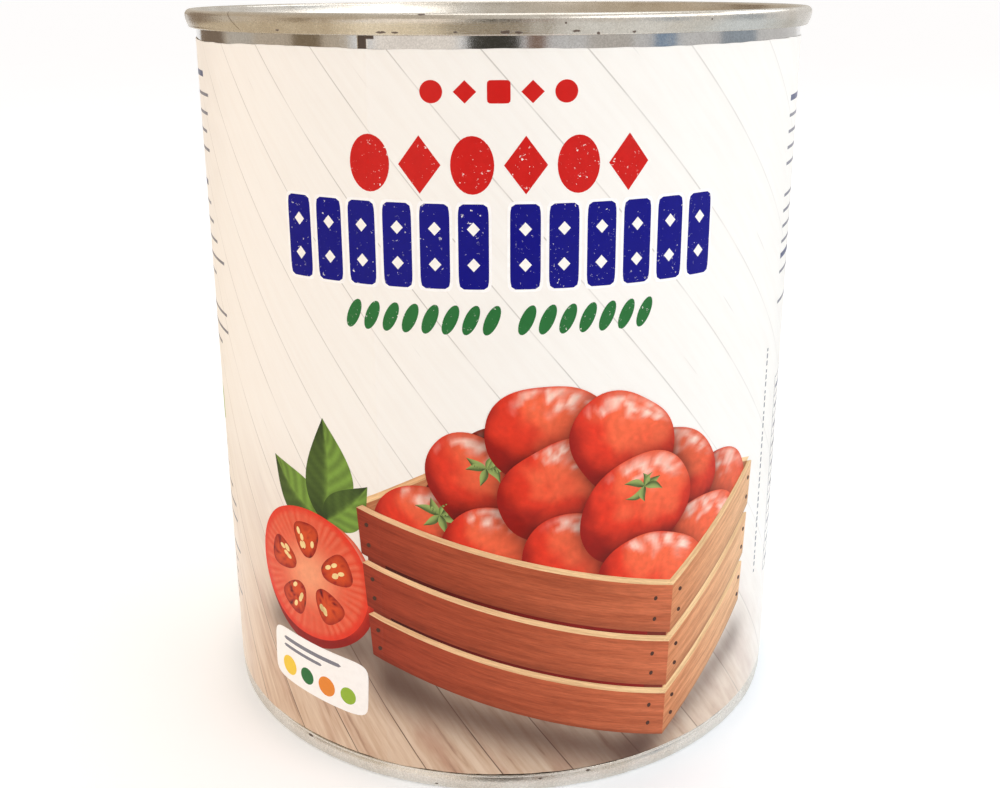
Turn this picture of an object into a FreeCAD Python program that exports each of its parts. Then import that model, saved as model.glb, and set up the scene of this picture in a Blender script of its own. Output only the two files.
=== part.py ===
import FreeCAD, Part
import math
import os

import Sketcher

# A round tinplate food can for peeled tomatoes, closed and full, with a paper wrap round it.
#
# Frame: the origin is the centre of the circle that the can stands on, +Z points up along the can's axis
# and -Y is the side of the wrap that faces the shopper. Lengths are in millimetres, angles in degrees.
#
# The pieces are the body with its side weld, an end seamed on at the top, another on the necked-in foot, and
# the wrap. The can is shut, so the body is solid: the tinplate wall and what it holds are one piece.

SIZES = {
    # the body
    "can_height": (118.0, "from the foot's crest to the top seam's crest"),
    "body_radius": (49.62, "outside of the tinplate wall"),
    "wall_gauge": (0.2, "thickness of the tinplate wall"),
    "neck_in": (1.54, "how far the foot is drawn in, so that its seam is flush with the wrap"),
    "neck_land": (0.5, "straight stretch between the foot's seam and the curve of the neck"),
    "neck_length": (3.2, "height over which the neck widens to the full body"),
    # the side weld
    "weld_width": (1.3, "width of the welded overlap"),
    "weld_height": (0.06, "how far the weld stands out of the wall"),
    "weld_turn": (-21.2, "turn from the front to the weld, positive towards +X"),
    # the two seamed ends
    "seam_height": (2.82, "height of the rolled double seam"),
    "seam_thickness": (1.4, "radial thickness of the double seam"),
    "seam_overhang": (1.68, "how far the seam stands out of the wall it closes"),
    "seam_round": (0.55, "rounding of the seam's crest"),
    "lip_round": (0.35, "rounding of the seam's free edge"),
    "end_gauge": (0.25, "thickness of an end's sheet inside the wall and under its groove"),
    "countersink_depth": (4.4, "from the crest to the bottom of the groove inside the seam"),
    "groove_radius": (0.6, "radius of that groove"),
    "panel_depth": (3.3, "from the crest to the panel"),
    "panel_round": (0.35, "rounding of the panel's rim"),
    "bead_inset": (3.6, "from the panel's rim to the middle of the first bead"),
    "bead_pitch": (5.4, "from one bead to the next"),
    "bead_half_width": (1.4, "half the width of a bead"),
    "bead_height": (0.5, "how far a bead stands out of the panel"),
    "step_inset": (4.6, "from the last bead to the step down to the middle of the panel"),
    "step_run": (1.2, "radial length of that step"),
    "step_depth": (0.55, "how much deeper the middle of the panel lies"),
    # the paper wrap
    "label_play": (0.01, "between the weld and the wrap"),
    "label_gauge": (0.11, "thickness of the paper"),
    "label_foot_gap": (0.61, "from the foot's seam to the wrap's lower edge"),
    "label_top_gap": (1.61, "bare wall between the wrap's upper edge and the top seam"),
    "lap_width": (9.0, "width of the glued overlap at the back"),
}
BEADS = 2

DOCUMENT_NAME = "TomatoTin"
SHEET_NAME = "Sizes"
OUTPUT_FOLDER = "parts"
ORIGIN_POINT = -1
HORIZONTAL_AXIS = -1
VERTICAL_AXIS = -2
START, END = 1, 2


class Length:
    """A length with its value in millimetres and the sheet's expression that gives it."""

    def __init__(self, value, text):
        self.value = value
        self.text = text

    def _joined(self, other, sign, value):
        other_text = other.text if isinstance(other, Length) else repr(other)
        return Length(value, f"({self.text} {sign} {other_text})")

    def __add__(self, other):
        return self._joined(other, "+", self.value + number(other))

    def __sub__(self, other):
        return self._joined(other, "-", self.value - number(other))

    def __mul__(self, other):
        return self._joined(other, "*", self.value * number(other))

    def __truediv__(self, other):
        return self._joined(other, "/", self.value / number(other))


def number(length):
    """The plain number of a Length or of a number."""
    return length.value if isinstance(length, Length) else length


def size(name):
    """The named size, bound to its cell."""
    return Length(SIZES[name][0], f"{SHEET_NAME}.{name}")


NOTHING = Length(0.0, "0")


def make_sheet(doc):
    """Writes each driving size as a plain number beside its name and its meaning."""
    sheet = doc.addObject("Spreadsheet::Sheet", SHEET_NAME)
    for row, (name, (value, meaning)) in enumerate(SIZES.items(), start=1):
        sheet.set(f"A{row}", name)
        sheet.set(f"B{row}", repr(value))
        sheet.set(f"C{row}", meaning)
        sheet.setAlias(f"B{row}", name)
    doc.recompute()
    return sheet


# --- sketches ---------------------------------------------------------------------------------------------


def origin_plane(body, role):
    """The body's own origin plane with that role."""
    return next(feature for feature in body.Origin.OriginFeatures if feature.Role == role)


def new_sketch(body, name, plane="XZ_Plane"):
    """An empty sketch on one of the body's upright planes, whose vertical axis is the can's axis."""
    sketch = body.newObject("Sketcher::SketchObject", name)
    sketch.AttachmentSupport = [(origin_plane(body, plane), "")]
    sketch.MapMode = "FlatFace"
    return sketch


def arc_between(start, end, radius, side):
    """An arc of that radius turning left (side 1) or right (side -1), and whether it is stored reversed."""
    chord = end - start
    half = chord.Length / 2
    along = chord.normalize()
    leftward = FreeCAD.Vector(-along.y, along.x, 0)
    reach = math.sqrt(max(radius**2 - half**2, 0.0))
    centre = start + along * half + leftward * reach * side
    first, last = (start, end) if side > 0 else (end, start)
    circle = Part.Circle(centre, FreeCAD.Vector(0, 0, 1), radius)
    angles = [math.atan2(point.y - centre.y, point.x - centre.x) for point in (first, last)]
    return Part.ArcOfCircle(circle, angles[0], angles[1]), side < 0


def pin_coordinate(sketch, geometry, vertex, kind, axis, length, name):
    """Holds one coordinate of a vertex at a sheet expression, or on the axis where it is nothing."""
    if length is NOTHING:
        sketch.addConstraint(Sketcher.Constraint("PointOnObject", geometry, vertex, axis))
        return
    index = sketch.addConstraint(
        Sketcher.Constraint(kind, ORIGIN_POINT, START, geometry, vertex, length.value)
    )
    sketch.renameConstraint(index, name)
    sketch.setExpression(f"Constraints.{name}", length.text)


def draw_outline(sketch, outline):
    """Draws a closed outline. Each entry is (radius, height) or (radius, height, arc radius, side), and its
    line or arc runs from its own point to the next entry's."""
    count = len(outline)
    starts = []
    for index, entry in enumerate(outline):
        following = outline[(index + 1) % count]
        start = FreeCAD.Vector(entry[0].value, entry[1].value, 0)
        end = FreeCAD.Vector(following[0].value, following[1].value, 0)
        if len(entry) == 2:
            curve, reversed_curve = Part.LineSegment(start, end), False
        else:
            curve, reversed_curve = arc_between(start, end, entry[2].value, entry[3])
        geometry = sketch.addGeometry(curve, False)
        starts.append((geometry, reversed_curve))
    for index, entry in enumerate(outline):
        geometry, reversed_curve = starts[index]
        next_geometry, next_reversed = starts[(index + 1) % count]
        head = END if reversed_curve else START
        tail = START if reversed_curve else END
        next_head = END if next_reversed else START
        sketch.addConstraint(Sketcher.Constraint("Coincident", geometry, tail, next_geometry, next_head))
        pin_coordinate(sketch, geometry, head, "DistanceX", VERTICAL_AXIS, entry[0], f"radius_{index}")
        pin_coordinate(sketch, geometry, head, "DistanceY", HORIZONTAL_AXIS, entry[1], f"height_{index}")
        if len(entry) == 4:
            bend = sketch.addConstraint(Sketcher.Constraint("Radius", geometry, entry[2].value))
            sketch.renameConstraint(bend, f"bend_{index}")
            sketch.setExpression(f"Constraints.bend_{index}", entry[2].text)


def new_body(doc, node):
    """A body whose Label names the node."""
    body = doc.addObject("PartDesign::Body", node)
    body.Label = node
    body.Placement = FreeCAD.Placement()
    return body


def revolve(body, name, sketch, turn=None):
    """Turns a sketch about the can's axis, all the way or by an angle shared out to both its sides."""
    feature = body.newObject("PartDesign::Revolution", name)
    feature.Profile = sketch
    feature.ReferenceAxis = (sketch, ["V_Axis"])
    feature.Angle = 360.0
    if turn is not None:
        feature.Midplane = True
        feature.Angle = turn.value
        feature.setExpression("Angle", turn.text)
    sketch.Visibility = False
    return feature


# --- the body ---------------------------------------------------------------------------------------------


def end_depth():
    """From a seam's crest to the flat inner side of its end, where the contents begin."""
    return size("countersink_depth") + size("end_gauge")


def neck_radius():
    """Outside of the wall at the necked-in foot."""
    return size("body_radius") - size("neck_in")


def body_outline():
    """Half section of the solid body: the wall runs up into each seam past the flat ends of the contents.
    The neck is two equal arcs, tangent to the wall above and to the land below."""
    height = size("can_height")
    neck = neck_radius()
    radius = size("body_radius")
    gauge = size("wall_gauge")
    seam = size("seam_height")
    neck_foot = seam + size("neck_land")
    neck_in = size("neck_in")
    neck_length = size("neck_length")
    bend = (neck_in * neck_in + neck_length * neck_length) / (neck_in * 4)
    return [
        (NOTHING, end_depth()),
        (neck - gauge, end_depth()),
        (neck - gauge, seam),
        (neck, seam),
        (neck, neck_foot, bend, -1),
        (neck + neck_in / 2, neck_foot + neck_length / 2, bend, 1),
        (radius, neck_foot + neck_length),
        (radius, height - seam),
        (radius - gauge, height - seam),
        (radius - gauge, height - end_depth()),
        (NOTHING, height - end_depth()),
    ]


def weld_outline():
    """Section of the weld's ridge, from inside the wall to its proud face, from the neck to the top seam."""
    radius = size("body_radius")
    foot = size("seam_height") + size("neck_land") + size("neck_length")
    head = size("can_height") - size("seam_height")
    inner = radius - size("wall_gauge")
    outer = radius + size("weld_height")
    return [(inner, foot), (outer, foot), (outer, head), (inner, head)]


def arc_turn(width, radius):
    """The angle in degrees of an arc of that width on a circle of that radius."""
    return width / radius * (180 / math.pi)


def make_can_body(doc):
    """The wall, the neck and what the can holds, with the side weld running up the wall."""
    body = new_body(doc, "can_body")
    section = new_sketch(body, "BodySection")
    draw_outline(section, body_outline())
    revolve(body, "BodyWall", section)
    weld = new_sketch(body, "WeldSection")
    # The upright plane's own horizontal axis is +X, a quarter turn on from the front.
    quarter_turn = 90
    angle = size("weld_turn") - quarter_turn
    weld.AttachmentOffset = FreeCAD.Placement(
        FreeCAD.Vector(), FreeCAD.Rotation(FreeCAD.Vector(0, 1, 0), angle.value)
    )
    weld.setExpression("AttachmentOffset.Rotation.Angle", angle.text)
    draw_outline(weld, weld_outline())
    revolve(body, "Weld", weld, arc_turn(size("weld_width"), size("body_radius")))
    return body


# --- the ends ---------------------------------------------------------------------------------------------


def end_outline(seam_radius, level, side):
    """Half section of an end with its seam. level turns a depth below the crest into a height, and side is 1
    where depths run down from the crest and -1 where they run up, so that each arc turns the right way."""
    seam = size("seam_height")
    lip = size("lip_round")
    crest = size("seam_round")
    wall_inside = seam_radius - size("seam_overhang") - size("wall_gauge")
    inner_crest = seam_radius - size("seam_thickness")
    groove = size("groove_radius")
    groove_outer = wall_inside - size("end_gauge")
    groove_level = level(size("countersink_depth") - groove)
    panel_rim = groove_outer - groove * 2
    panel = level(size("panel_depth"))
    rim_round = size("panel_round")
    outline = [
        (NOTHING, level(end_depth())),
        (wall_inside, level(end_depth())),
        (wall_inside, level(seam)),
        (seam_radius - lip, level(seam), lip, side),
        (seam_radius, level(seam - lip)),
        (seam_radius, level(crest), crest, side),
        (seam_radius - crest, level(NOTHING)),
        (inner_crest + crest, level(NOTHING), crest, side),
        (inner_crest, level(crest)),
        (groove_outer, level(seam)),
        (groove_outer, groove_level, groove, -side),
        (groove_outer - groove, level(size("countersink_depth")), groove, -side),
        (panel_rim, groove_level),
        (panel_rim, level(size("panel_depth") + rim_round), rim_round, side),
        (panel_rim - rim_round, panel),
    ]
    half = size("bead_half_width")
    rise = size("bead_height")
    bead_bend = (half * half + rise * rise) / (rise * 2)
    middle = panel_rim - size("bead_inset")
    for bead in range(BEADS):
        outline.append((middle + half, panel, bead_bend, side))
        outline.append((middle - half, panel))
        if bead < BEADS - 1:
            middle = middle - size("bead_pitch")
    step = middle - size("step_inset")
    middle_level = level(size("panel_depth") + size("step_depth"))
    outline.append((step, panel))
    outline.append((step - size("step_run"), middle_level))
    outline.append((NOTHING, middle_level))
    return outline


def make_end(doc, node, seam_radius, level, side):
    """One seamed end, turned from its half section."""
    body = new_body(doc, node)
    section = new_sketch(body, f"{node}_section")
    draw_outline(section, end_outline(seam_radius, level, side))
    revolve(body, f"{node}_turned", section)
    return body


def below_top(depth):
    """Height of a depth below the top seam's crest."""
    return size("can_height") if depth is NOTHING else size("can_height") - depth


def above_foot(depth):
    """Height of a depth above the foot's crest."""
    return depth


# --- the wrap ---------------------------------------------------------------------------------------------


def label_outline(inner, outer):
    """Section of the paper between two radii, over the wrap's whole height."""
    foot = size("seam_height") + size("label_foot_gap")
    head = size("can_height") - size("seam_height") - size("label_top_gap")
    return [(inner, foot), (outer, foot), (outer, head), (inner, head)]


def make_label(doc):
    """A paper tube that clears the weld, with its glued overlap at the back."""
    body = new_body(doc, "label")
    inner = size("body_radius") + size("weld_height") + size("label_play")
    outer = inner + size("label_gauge")
    paper = new_sketch(body, "PaperSection")
    draw_outline(paper, label_outline(inner, outer))
    revolve(body, "Paper", paper)
    lap = new_sketch(body, "LapSection", "YZ_Plane")
    draw_outline(lap, label_outline(inner, outer + size("label_gauge")))
    revolve(body, "Lap", lap, arc_turn(size("lap_width"), outer))
    return body


# --- the whole can ----------------------------------------------------------------------------------------


def check(doc, pieces):
    """Stops before anything is written if a feature failed or a piece isn't one sound solid."""
    for item in doc.Objects:
        if "Invalid" in item.State or "Error" in item.State:
            raise RuntimeError(f"{item.Name} failed: {item.State}")
    for piece in pieces:
        shape = piece.Shape
        if shape.isNull() or not shape.isValid() or len(shape.Solids) != 1:
            raise RuntimeError(f"{piece.Label} isn't one sound solid")


def main():
    doc = FreeCAD.newDocument(DOCUMENT_NAME)
    make_sheet(doc)
    top_seam = size("body_radius") + size("seam_overhang")
    foot_seam = neck_radius() + size("seam_overhang")
    pieces = [
        make_can_body(doc),
        make_end(doc, "top_end", top_seam, below_top, 1),
        make_end(doc, "bottom_end", foot_seam, above_foot, -1),
        make_label(doc),
    ]
    doc.recompute()
    check(doc, pieces)
    os.makedirs(OUTPUT_FOLDER, exist_ok=True)
    for piece in pieces:
        piece.Shape.exportStep(os.path.join(OUTPUT_FOLDER, f"{piece.Label}.step"))
        print(f"{piece.Label}: {piece.Shape.Volume:.1f} mm3")


main()
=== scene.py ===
"""A tin of peeled tomatoes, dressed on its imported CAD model.

The can stands on the origin with +Z up, and the front of its wrap faces -Y. Lengths are in metres, except on
the print, whose layout is in millimetres on the unrolled wrap: u runs round the can from the front towards
+X, and v is the height above the foot.
"""

import logging
import math
from dataclasses import dataclass, field
from enum import Enum

import bpy
import numpy as np
from mathutils import Matrix, Vector


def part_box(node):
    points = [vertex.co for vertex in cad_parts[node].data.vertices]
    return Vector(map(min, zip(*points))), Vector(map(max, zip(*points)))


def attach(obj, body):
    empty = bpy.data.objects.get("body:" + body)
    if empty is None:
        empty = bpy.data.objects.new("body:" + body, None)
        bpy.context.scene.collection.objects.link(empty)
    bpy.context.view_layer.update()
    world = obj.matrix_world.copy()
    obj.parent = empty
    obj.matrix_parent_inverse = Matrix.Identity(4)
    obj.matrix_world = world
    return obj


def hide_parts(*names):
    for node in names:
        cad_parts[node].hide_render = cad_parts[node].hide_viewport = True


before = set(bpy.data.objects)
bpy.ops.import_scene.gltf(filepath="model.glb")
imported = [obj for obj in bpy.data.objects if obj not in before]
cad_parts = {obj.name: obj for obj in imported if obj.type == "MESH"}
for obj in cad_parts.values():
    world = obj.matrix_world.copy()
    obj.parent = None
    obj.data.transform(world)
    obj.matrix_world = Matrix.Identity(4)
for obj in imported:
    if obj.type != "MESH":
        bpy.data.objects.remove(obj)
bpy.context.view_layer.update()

MM = 0.001
TAU = 2.0 * math.pi
ROOT = "root"
INK = "ink"
SHADE = "shade"
GRAIN = "grain"
CAN_MIDDLE = 0.06
CREASE_AZIMUTH = -0.366
CREASE_HALF_TURN = 0.009
CREASE_LEAN = 0.12
IN_MILLIMETRES = (1000.0, 1000.0, 1000.0)
INK_SPECULAR = 0.16
MIX_FIRST, MIX_SECOND, MIX_RESULT = 6, 7, 2

Array = np.ndarray
Triple = tuple[float, float, float]
Socket = bpy.types.NodeSocket
Material = bpy.types.Material
Piece = bpy.types.Object


# --- colours ---


def linear(red: float, green: float, blue: float) -> Triple:
    """Turns a display colour into the linear one that shaders take.

    Formula: a channel c, as a share of 255, becomes c / 12.92 in the dark and ((c + 0.055) / 1.055) ** 2.4
    elsewhere.

    Args:
        red: The red channel, 0 to 255.
        green: The green channel, 0 to 255.
        blue: The blue channel, 0 to 255.

    Returns:
        The linear red, green and blue, 0 to 1.
    """
    shares = np.array([red, green, blue]) / 255.0
    bright = ((shares + 0.055) / 1.055) ** 2.4
    values = np.where(shares <= 0.04045, shares / 12.92, bright)
    return tuple(float(value) for value in values)


class Tint(Enum):
    """The named colours of the can, its print and the floor, as linear red, green and blue."""

    PAPER = linear(247, 244, 238)
    PLANK_LINE = linear(150, 142, 134)
    TABLE = linear(198, 166, 138)
    TABLE_LIGHT = linear(224, 200, 176)
    TABLE_WARM = linear(184, 142, 118)
    TABLE_DARK = linear(138, 102, 84)
    JOINT_DARK = linear(92, 66, 52)
    SHADOW = linear(78, 48, 36)
    RED = linear(204, 22, 16)
    BLUE = linear(6, 4, 128)
    GREEN = linear(42, 112, 56)
    GREY = linear(128, 128, 138)
    WHITE = linear(252, 250, 248)
    SKIN_LIGHT = linear(244, 104, 66)
    SKIN = linear(226, 56, 32)
    SKIN_DARK = linear(150, 22, 14)
    GLOSS = linear(255, 222, 204)
    DEEP = linear(62, 16, 10)
    FLESH = linear(224, 74, 46)
    FLESH_PALE = linear(244, 158, 118)
    GEL = linear(214, 78, 30)
    SEED = linear(244, 214, 150)
    LIME = linear(150, 184, 60)
    YELLOW = linear(244, 206, 62)
    ORANGE = linear(232, 138, 50)
    NAVY = linear(76, 84, 120)
    LEAF_BRIGHT = linear(128, 164, 66)
    LEAF = linear(86, 112, 52)
    LEAF_LIGHT = linear(150, 170, 96)
    LEAF_DARK = linear(44, 58, 30)
    WOOD_LIGHT = linear(242, 196, 150)
    WOOD_MIDDLE = linear(206, 112, 72)
    WOOD = linear(220, 146, 100)
    WOOD_DARK = linear(156, 56, 34)
    WOOD_EDGE = linear(250, 212, 158)
    RUST = (0.07, 0.035, 0.02)
    SCRATCH = (0.16, 0.11, 0.07)
    WELD_BURN = (0.075, 0.05, 0.035)
    WOOD_STREAK = (0.52, 0.36, 0.26)
    FLOOR = (0.97, 0.985, 1.0)
    FLOOR_GLOW = (0.9, 0.96, 1.0)


def rgba(tint: Tint) -> tuple[float, float, float, float]:
    """The tint with full alpha."""
    return (*tint.value, 1.0)


# --- meshes from arrays ---


@dataclass
class Surface:
    """A mesh as whole arrays: points, faces of three or four corners, and values kept at the points."""

    points: Array
    quads: Array
    triangles: Array = field(default_factory=lambda: np.zeros((0, 3), np.int64))
    values: dict[str, Array] = field(default_factory=dict)

    def turned_over(self) -> "Surface":
        """The same surface with its faces pointing the other way."""
        return Surface(self.points, self.quads[:, ::-1], self.triangles[:, ::-1], dict(self.values))


def joined(parts: list[Surface]) -> Surface:
    """Puts surfaces into one, end to end in the arrays.

    Args:
        parts: The surfaces, which all keep the same named values.

    Returns:
        One surface with every point and face.
    """
    starts = np.cumsum([0] + [len(part.points) for part in parts[:-1]])
    names = parts[0].values.keys()
    return Surface(
        np.concatenate([part.points for part in parts]),
        np.concatenate([part.quads + start for part, start in zip(parts, starts)]),
        np.concatenate([part.triangles + start for part, start in zip(parts, starts)]),
        {name: np.concatenate([part.values[name] for part in parts]) for name in names},
    )


def grid_quads(rows: int, columns: int, columns_close: bool, rows_close: bool = False) -> Array:
    """Faces of a grid of points stored row after row.

    Args:
        rows: How many rows of points.
        columns: How many points in a row.
        columns_close: Whether the last column meets the first again.
        rows_close: Whether the last row meets the first again.

    Returns:
        Four corners a face, anticlockwise where columns run right and rows run up.
    """
    across = np.arange(columns if columns_close else columns - 1)
    up = np.arange(rows if rows_close else rows - 1)
    row, column = np.meshgrid(up, across, indexing="ij")
    right = (column + 1) % columns
    above = (row + 1) % rows
    near, far = row * columns, above * columns
    corners = [near + column, near + right, far + right, far + column]
    return np.stack([corner.ravel() for corner in corners], axis=1)


def build_object(name: str, surface: Surface, crease_degrees: float = 40.0) -> Piece:
    """Makes a smooth-shaded mesh object from a surface, with its values as point attributes.

    Args:
        name: The piece's name.
        surface: The arrays.
        crease_degrees: Edges that turn by more than this stay sharp.

    Returns:
        The new object, linked to the scene at the origin.
    """
    mesh = bpy.data.meshes.new(name)
    quads, triangles = surface.quads, surface.triangles
    corners = np.concatenate([quads.ravel(), triangles.ravel()]).astype(np.int32)
    sizes = np.concatenate([np.full(len(quads), 4), np.full(len(triangles), 3)]).astype(np.int32)
    starts = np.concatenate([[0], np.cumsum(sizes)[:-1]]).astype(np.int32)
    mesh.vertices.add(len(surface.points))
    mesh.vertices.foreach_set("co", surface.points.astype(np.float32).ravel())
    mesh.loops.add(len(corners))
    mesh.loops.foreach_set("vertex_index", corners)
    mesh.polygons.add(len(sizes))
    mesh.polygons.foreach_set("loop_start", starts)
    mesh.polygons.foreach_set("use_smooth", np.ones(len(sizes), bool))
    for key, values in surface.values.items():
        if values.ndim == 1:
            mesh.attributes.new(key, "FLOAT", "POINT").data.foreach_set("value", values.astype(np.float32))
        elif key == INK:
            colour = np.concatenate([values, np.ones((len(values), 1))], axis=1).astype(np.float32)
            mesh.attributes.new(key, "FLOAT_COLOR", "POINT").data.foreach_set("color", colour.ravel())
        else:
            vectors = values.astype(np.float32)
            mesh.attributes.new(key, "FLOAT_VECTOR", "POINT").data.foreach_set("vector", vectors.ravel())
    mesh.update(calc_edges=True)
    mesh.validate()
    mesh.set_sharp_from_angle(angle=math.radians(crease_degrees))
    piece = bpy.data.objects.new(name, mesh)
    bpy.context.scene.collection.objects.link(piece)
    return piece


def arc_points(centre: tuple[float, float], radius: float, start: float, end: float, count: int) -> Array:
    """Points along an arc of a section: centre plus radius times (cosine, sine) of an even run of angles."""
    angle = np.radians(np.linspace(start, end, count))
    return np.stack([centre[0] + radius * np.cos(angle), centre[1] + radius * np.sin(angle)], axis=1)


def resampled(section: Array, spacing: float) -> Array:
    """Adds points along the straight stretches of a section so that none is longer than spacing.

    Args:
        section: One (radius, height) row a point.
        spacing: The longest step allowed.

    Returns:
        The section with the points added.
    """
    pieces = []
    for start, end in zip(section[:-1], section[1:]):
        steps = max(int(math.ceil(np.hypot(*(end - start)) / spacing)), 1)
        share = np.arange(steps)[:, None] / steps
        pieces.append(start + (end - start) * share)
    pieces.append(section[-1:])
    return np.concatenate(pieces)


def soft_step(value: Array, low: float, high: float) -> Array:
    """Rises smoothly from 0 at low to 1 at high: t * t * (3 - 2 * t) of the share t of the way."""
    share = np.clip((value - low) / (high - low), 0.0, 1.0)
    return share * share * (3.0 - 2.0 * share)


def ripple(x: Array, y: Array, seed: int, wavelength: float, waves: int = 14) -> Array:
    """A smooth uneven field: the mean of sine waves in seeded directions, each near the given wavelength.

    Args:
        x: First coordinate of each place.
        y: Second coordinate of each place.
        seed: Seed of the directions, phases and wavelengths.
        wavelength: The middle wavelength, in the coordinates' unit.
        waves: How many waves are added.

    Returns:
        One value a place, mostly between -1 and 1.
    """
    rng = np.random.default_rng(seed)
    heading = rng.uniform(0.0, TAU, waves)
    number = TAU / (wavelength * rng.uniform(0.6, 1.7, waves))
    phase = rng.uniform(0.0, TAU, waves)
    total = np.zeros(np.broadcast(x, y).shape)
    for turn, rate, offset in zip(heading, number, phase):
        total += np.sin((x * math.cos(turn) + y * math.sin(turn)) * rate + offset)
    return total / math.sqrt(waves / 2.0)


# --- shader building ---


class Shader:
    """Builds one material's node tree, a node at a time."""

    def __init__(self, name: str) -> None:
        """Starts a material with a Principled shader on its output.

        Args:
            name: The material's name.
        """
        self.material = bpy.data.materials.new(name)
        self.material.use_nodes = True
        self.tree = self.material.node_tree
        self.tree.nodes.clear()
        output = self.tree.nodes.new("ShaderNodeOutputMaterial")
        self.surface = self.tree.nodes.new("ShaderNodeBsdfPrincipled")
        self.tree.links.new(self.surface.outputs["BSDF"], output.inputs["Surface"])

    def feed(self, socket: Socket, value: object) -> None:
        """Links an output to a socket, or sets the socket to a plain value.

        Args:
            socket: The input socket.
            value: An output socket, a number or a colour.
        """
        if isinstance(value, Socket):
            self.tree.links.new(value, socket)
        else:
            socket.default_value = value

    def node(self, kind: str, inputs: dict[str | int, object], **settings: object) -> bpy.types.Node:
        """Adds a node.

        Args:
            kind: The node's type.
            inputs: What each of its inputs is linked or set to.
            **settings: The node's own settings.

        Returns:
            The new node.
        """
        node = self.tree.nodes.new(kind)
        for key, value in settings.items():
            setattr(node, key, value)
        for key, value in inputs.items():
            self.feed(node.inputs[key], value)
        return node

    def attribute(self, name: str, output: str) -> Socket:
        """The named output of a mesh attribute."""
        return self.node("ShaderNodeAttribute", {}, attribute_name=name).outputs[output]

    def object_place(self) -> Socket:
        """The object's own coordinates."""
        return self.node("ShaderNodeTexCoord", {}).outputs["Object"]

    def scaled(self, vector: object, scale: Triple, turn: float = 0.0) -> Socket:
        """A vector turned about its third axis and then stretched.

        Args:
            vector: The vector.
            scale: The factor on each axis.
            turn: The turn in degrees.

        Returns:
            The mapped vector.
        """
        inputs = {"Vector": vector, "Rotation": (0.0, 0.0, math.radians(turn))}
        turned = self.node("ShaderNodeMapping", inputs)
        return self.node("ShaderNodeMapping", {"Vector": turned.outputs[0], "Scale": scale}).outputs[0]

    def math(self, operation: str, first: object, second: object = 0.0, clamp: bool = False) -> Socket:
        """The result of one arithmetic step on two numbers."""
        settings = {"operation": operation, "use_clamp": clamp}
        return self.node("ShaderNodeMath", {0: first, 1: second}, **settings).outputs[0]

    def times(self, first: object, second: object) -> Socket:
        """The product of two numbers."""
        return self.math("MULTIPLY", first, second)

    def plus(self, first: object, second: object, clamp: bool = False) -> Socket:
        """The sum of two numbers."""
        return self.math("ADD", first, second, clamp)

    def minus(self, first: object, second: object, clamp: bool = False) -> Socket:
        """The first number less the second."""
        return self.math("SUBTRACT", first, second, clamp)

    def gap(self, first: object, second: object) -> Socket:
        """How far apart two numbers lie."""
        return self.math("ABSOLUTE", self.minus(first, second))

    def azimuth(self, across: object, along: object) -> Socket:
        """The turn about the can in radians, from the front towards +X."""
        return self.math("ARCTAN2", across, self.times(along, -1.0))

    def remap(self, value: object, low: float, high: float, to_low: float = 0.0,
              to_high: float = 1.0) -> Socket:
        """A number moved smoothly from one range to another, and held at its ends."""
        inputs = {"Value": value, "From Min": low, "From Max": high, "To Min": to_low, "To Max": to_high}
        return self.node("ShaderNodeMapRange", inputs, interpolation_type="SMOOTHSTEP").outputs["Result"]

    def noise(self, vector: object, scale: float, detail: float = 3.0, roughness: float = 0.5) -> Socket:
        """A noise field between 0 and 1."""
        inputs = {"Vector": vector, "Scale": scale, "Detail": detail, "Roughness": roughness}
        return self.node("ShaderNodeTexNoise", inputs).outputs["Fac"]

    def mixed(self, share: object, first: object, second: object, blend: str = "MIX") -> Socket:
        """Two colours mixed by a share."""
        inputs = {"Factor": share, MIX_FIRST: first, MIX_SECOND: second}
        return self.node("ShaderNodeMix", inputs, data_type="RGBA", blend_type=blend).outputs[MIX_RESULT]

    def parts(self, vector: object) -> tuple[Socket, ...]:
        """The three numbers of a vector."""
        return tuple(self.node("ShaderNodeSeparateXYZ", {0: vector}).outputs)

    def vector(self, *numbers: object) -> Socket:
        """Three numbers as one vector."""
        return self.node("ShaderNodeCombineXYZ", dict(enumerate(numbers))).outputs[0]

    def fold(self, place: object, azimuth: float, half_width: float) -> Socket:
        """A narrow upright ridge at one azimuth of the can, as a height field.

        Args:
            place: The object's own coordinates.
            azimuth: Where the ridge lies, in radians from the front.
            half_width: The angle over which it falls away.

        Returns:
            1 on the ridge and 0 away from it.
        """
        across, along, height = self.parts(place)
        turn = self.azimuth(across, along)
        lean = self.times(self.minus(height, CAN_MIDDLE), CREASE_LEAN)
        away = self.gap(self.minus(turn, azimuth), lean)
        return self.remap(away, 0.0, half_width, 1.0, 0.0)

    def bumped(self, height: object, strength: float, distance: float) -> None:
        """Sets the surface's normal from a height field, where 1 stands for the distance in metres."""
        bump = self.node("ShaderNodeBump", {"Strength": strength, "Distance": distance, "Height": height})
        self.tree.links.new(bump.outputs["Normal"], self.surface.inputs["Normal"])

    def paper_bump(self, place: object) -> None:
        """The fine tooth of coated paper, and the fold where the wrap goes over the weld."""
        tooth = self.times(self.noise(place, 1400.0, 4.0, 0.6), 0.25)
        self.bumped(self.plus(tooth, self.fold(place, CREASE_AZIMUTH, CREASE_HALF_TURN)), 0.5, 0.00006)

    def set(self, **sockets: object) -> None:
        """Sets or links sockets of the Principled shader, named with underscores for spaces."""
        for key, value in sockets.items():
            self.feed(self.surface.inputs[key.replace("_", " ")], value)


# --- the can's tinplate pieces ---


def node_corners(node: str) -> tuple[Array, Array]:
    """The lowest and highest corners of a CAD node, in millimetres."""
    low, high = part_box(node)
    return np.array(low) / MM, np.array(high) / MM


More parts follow.
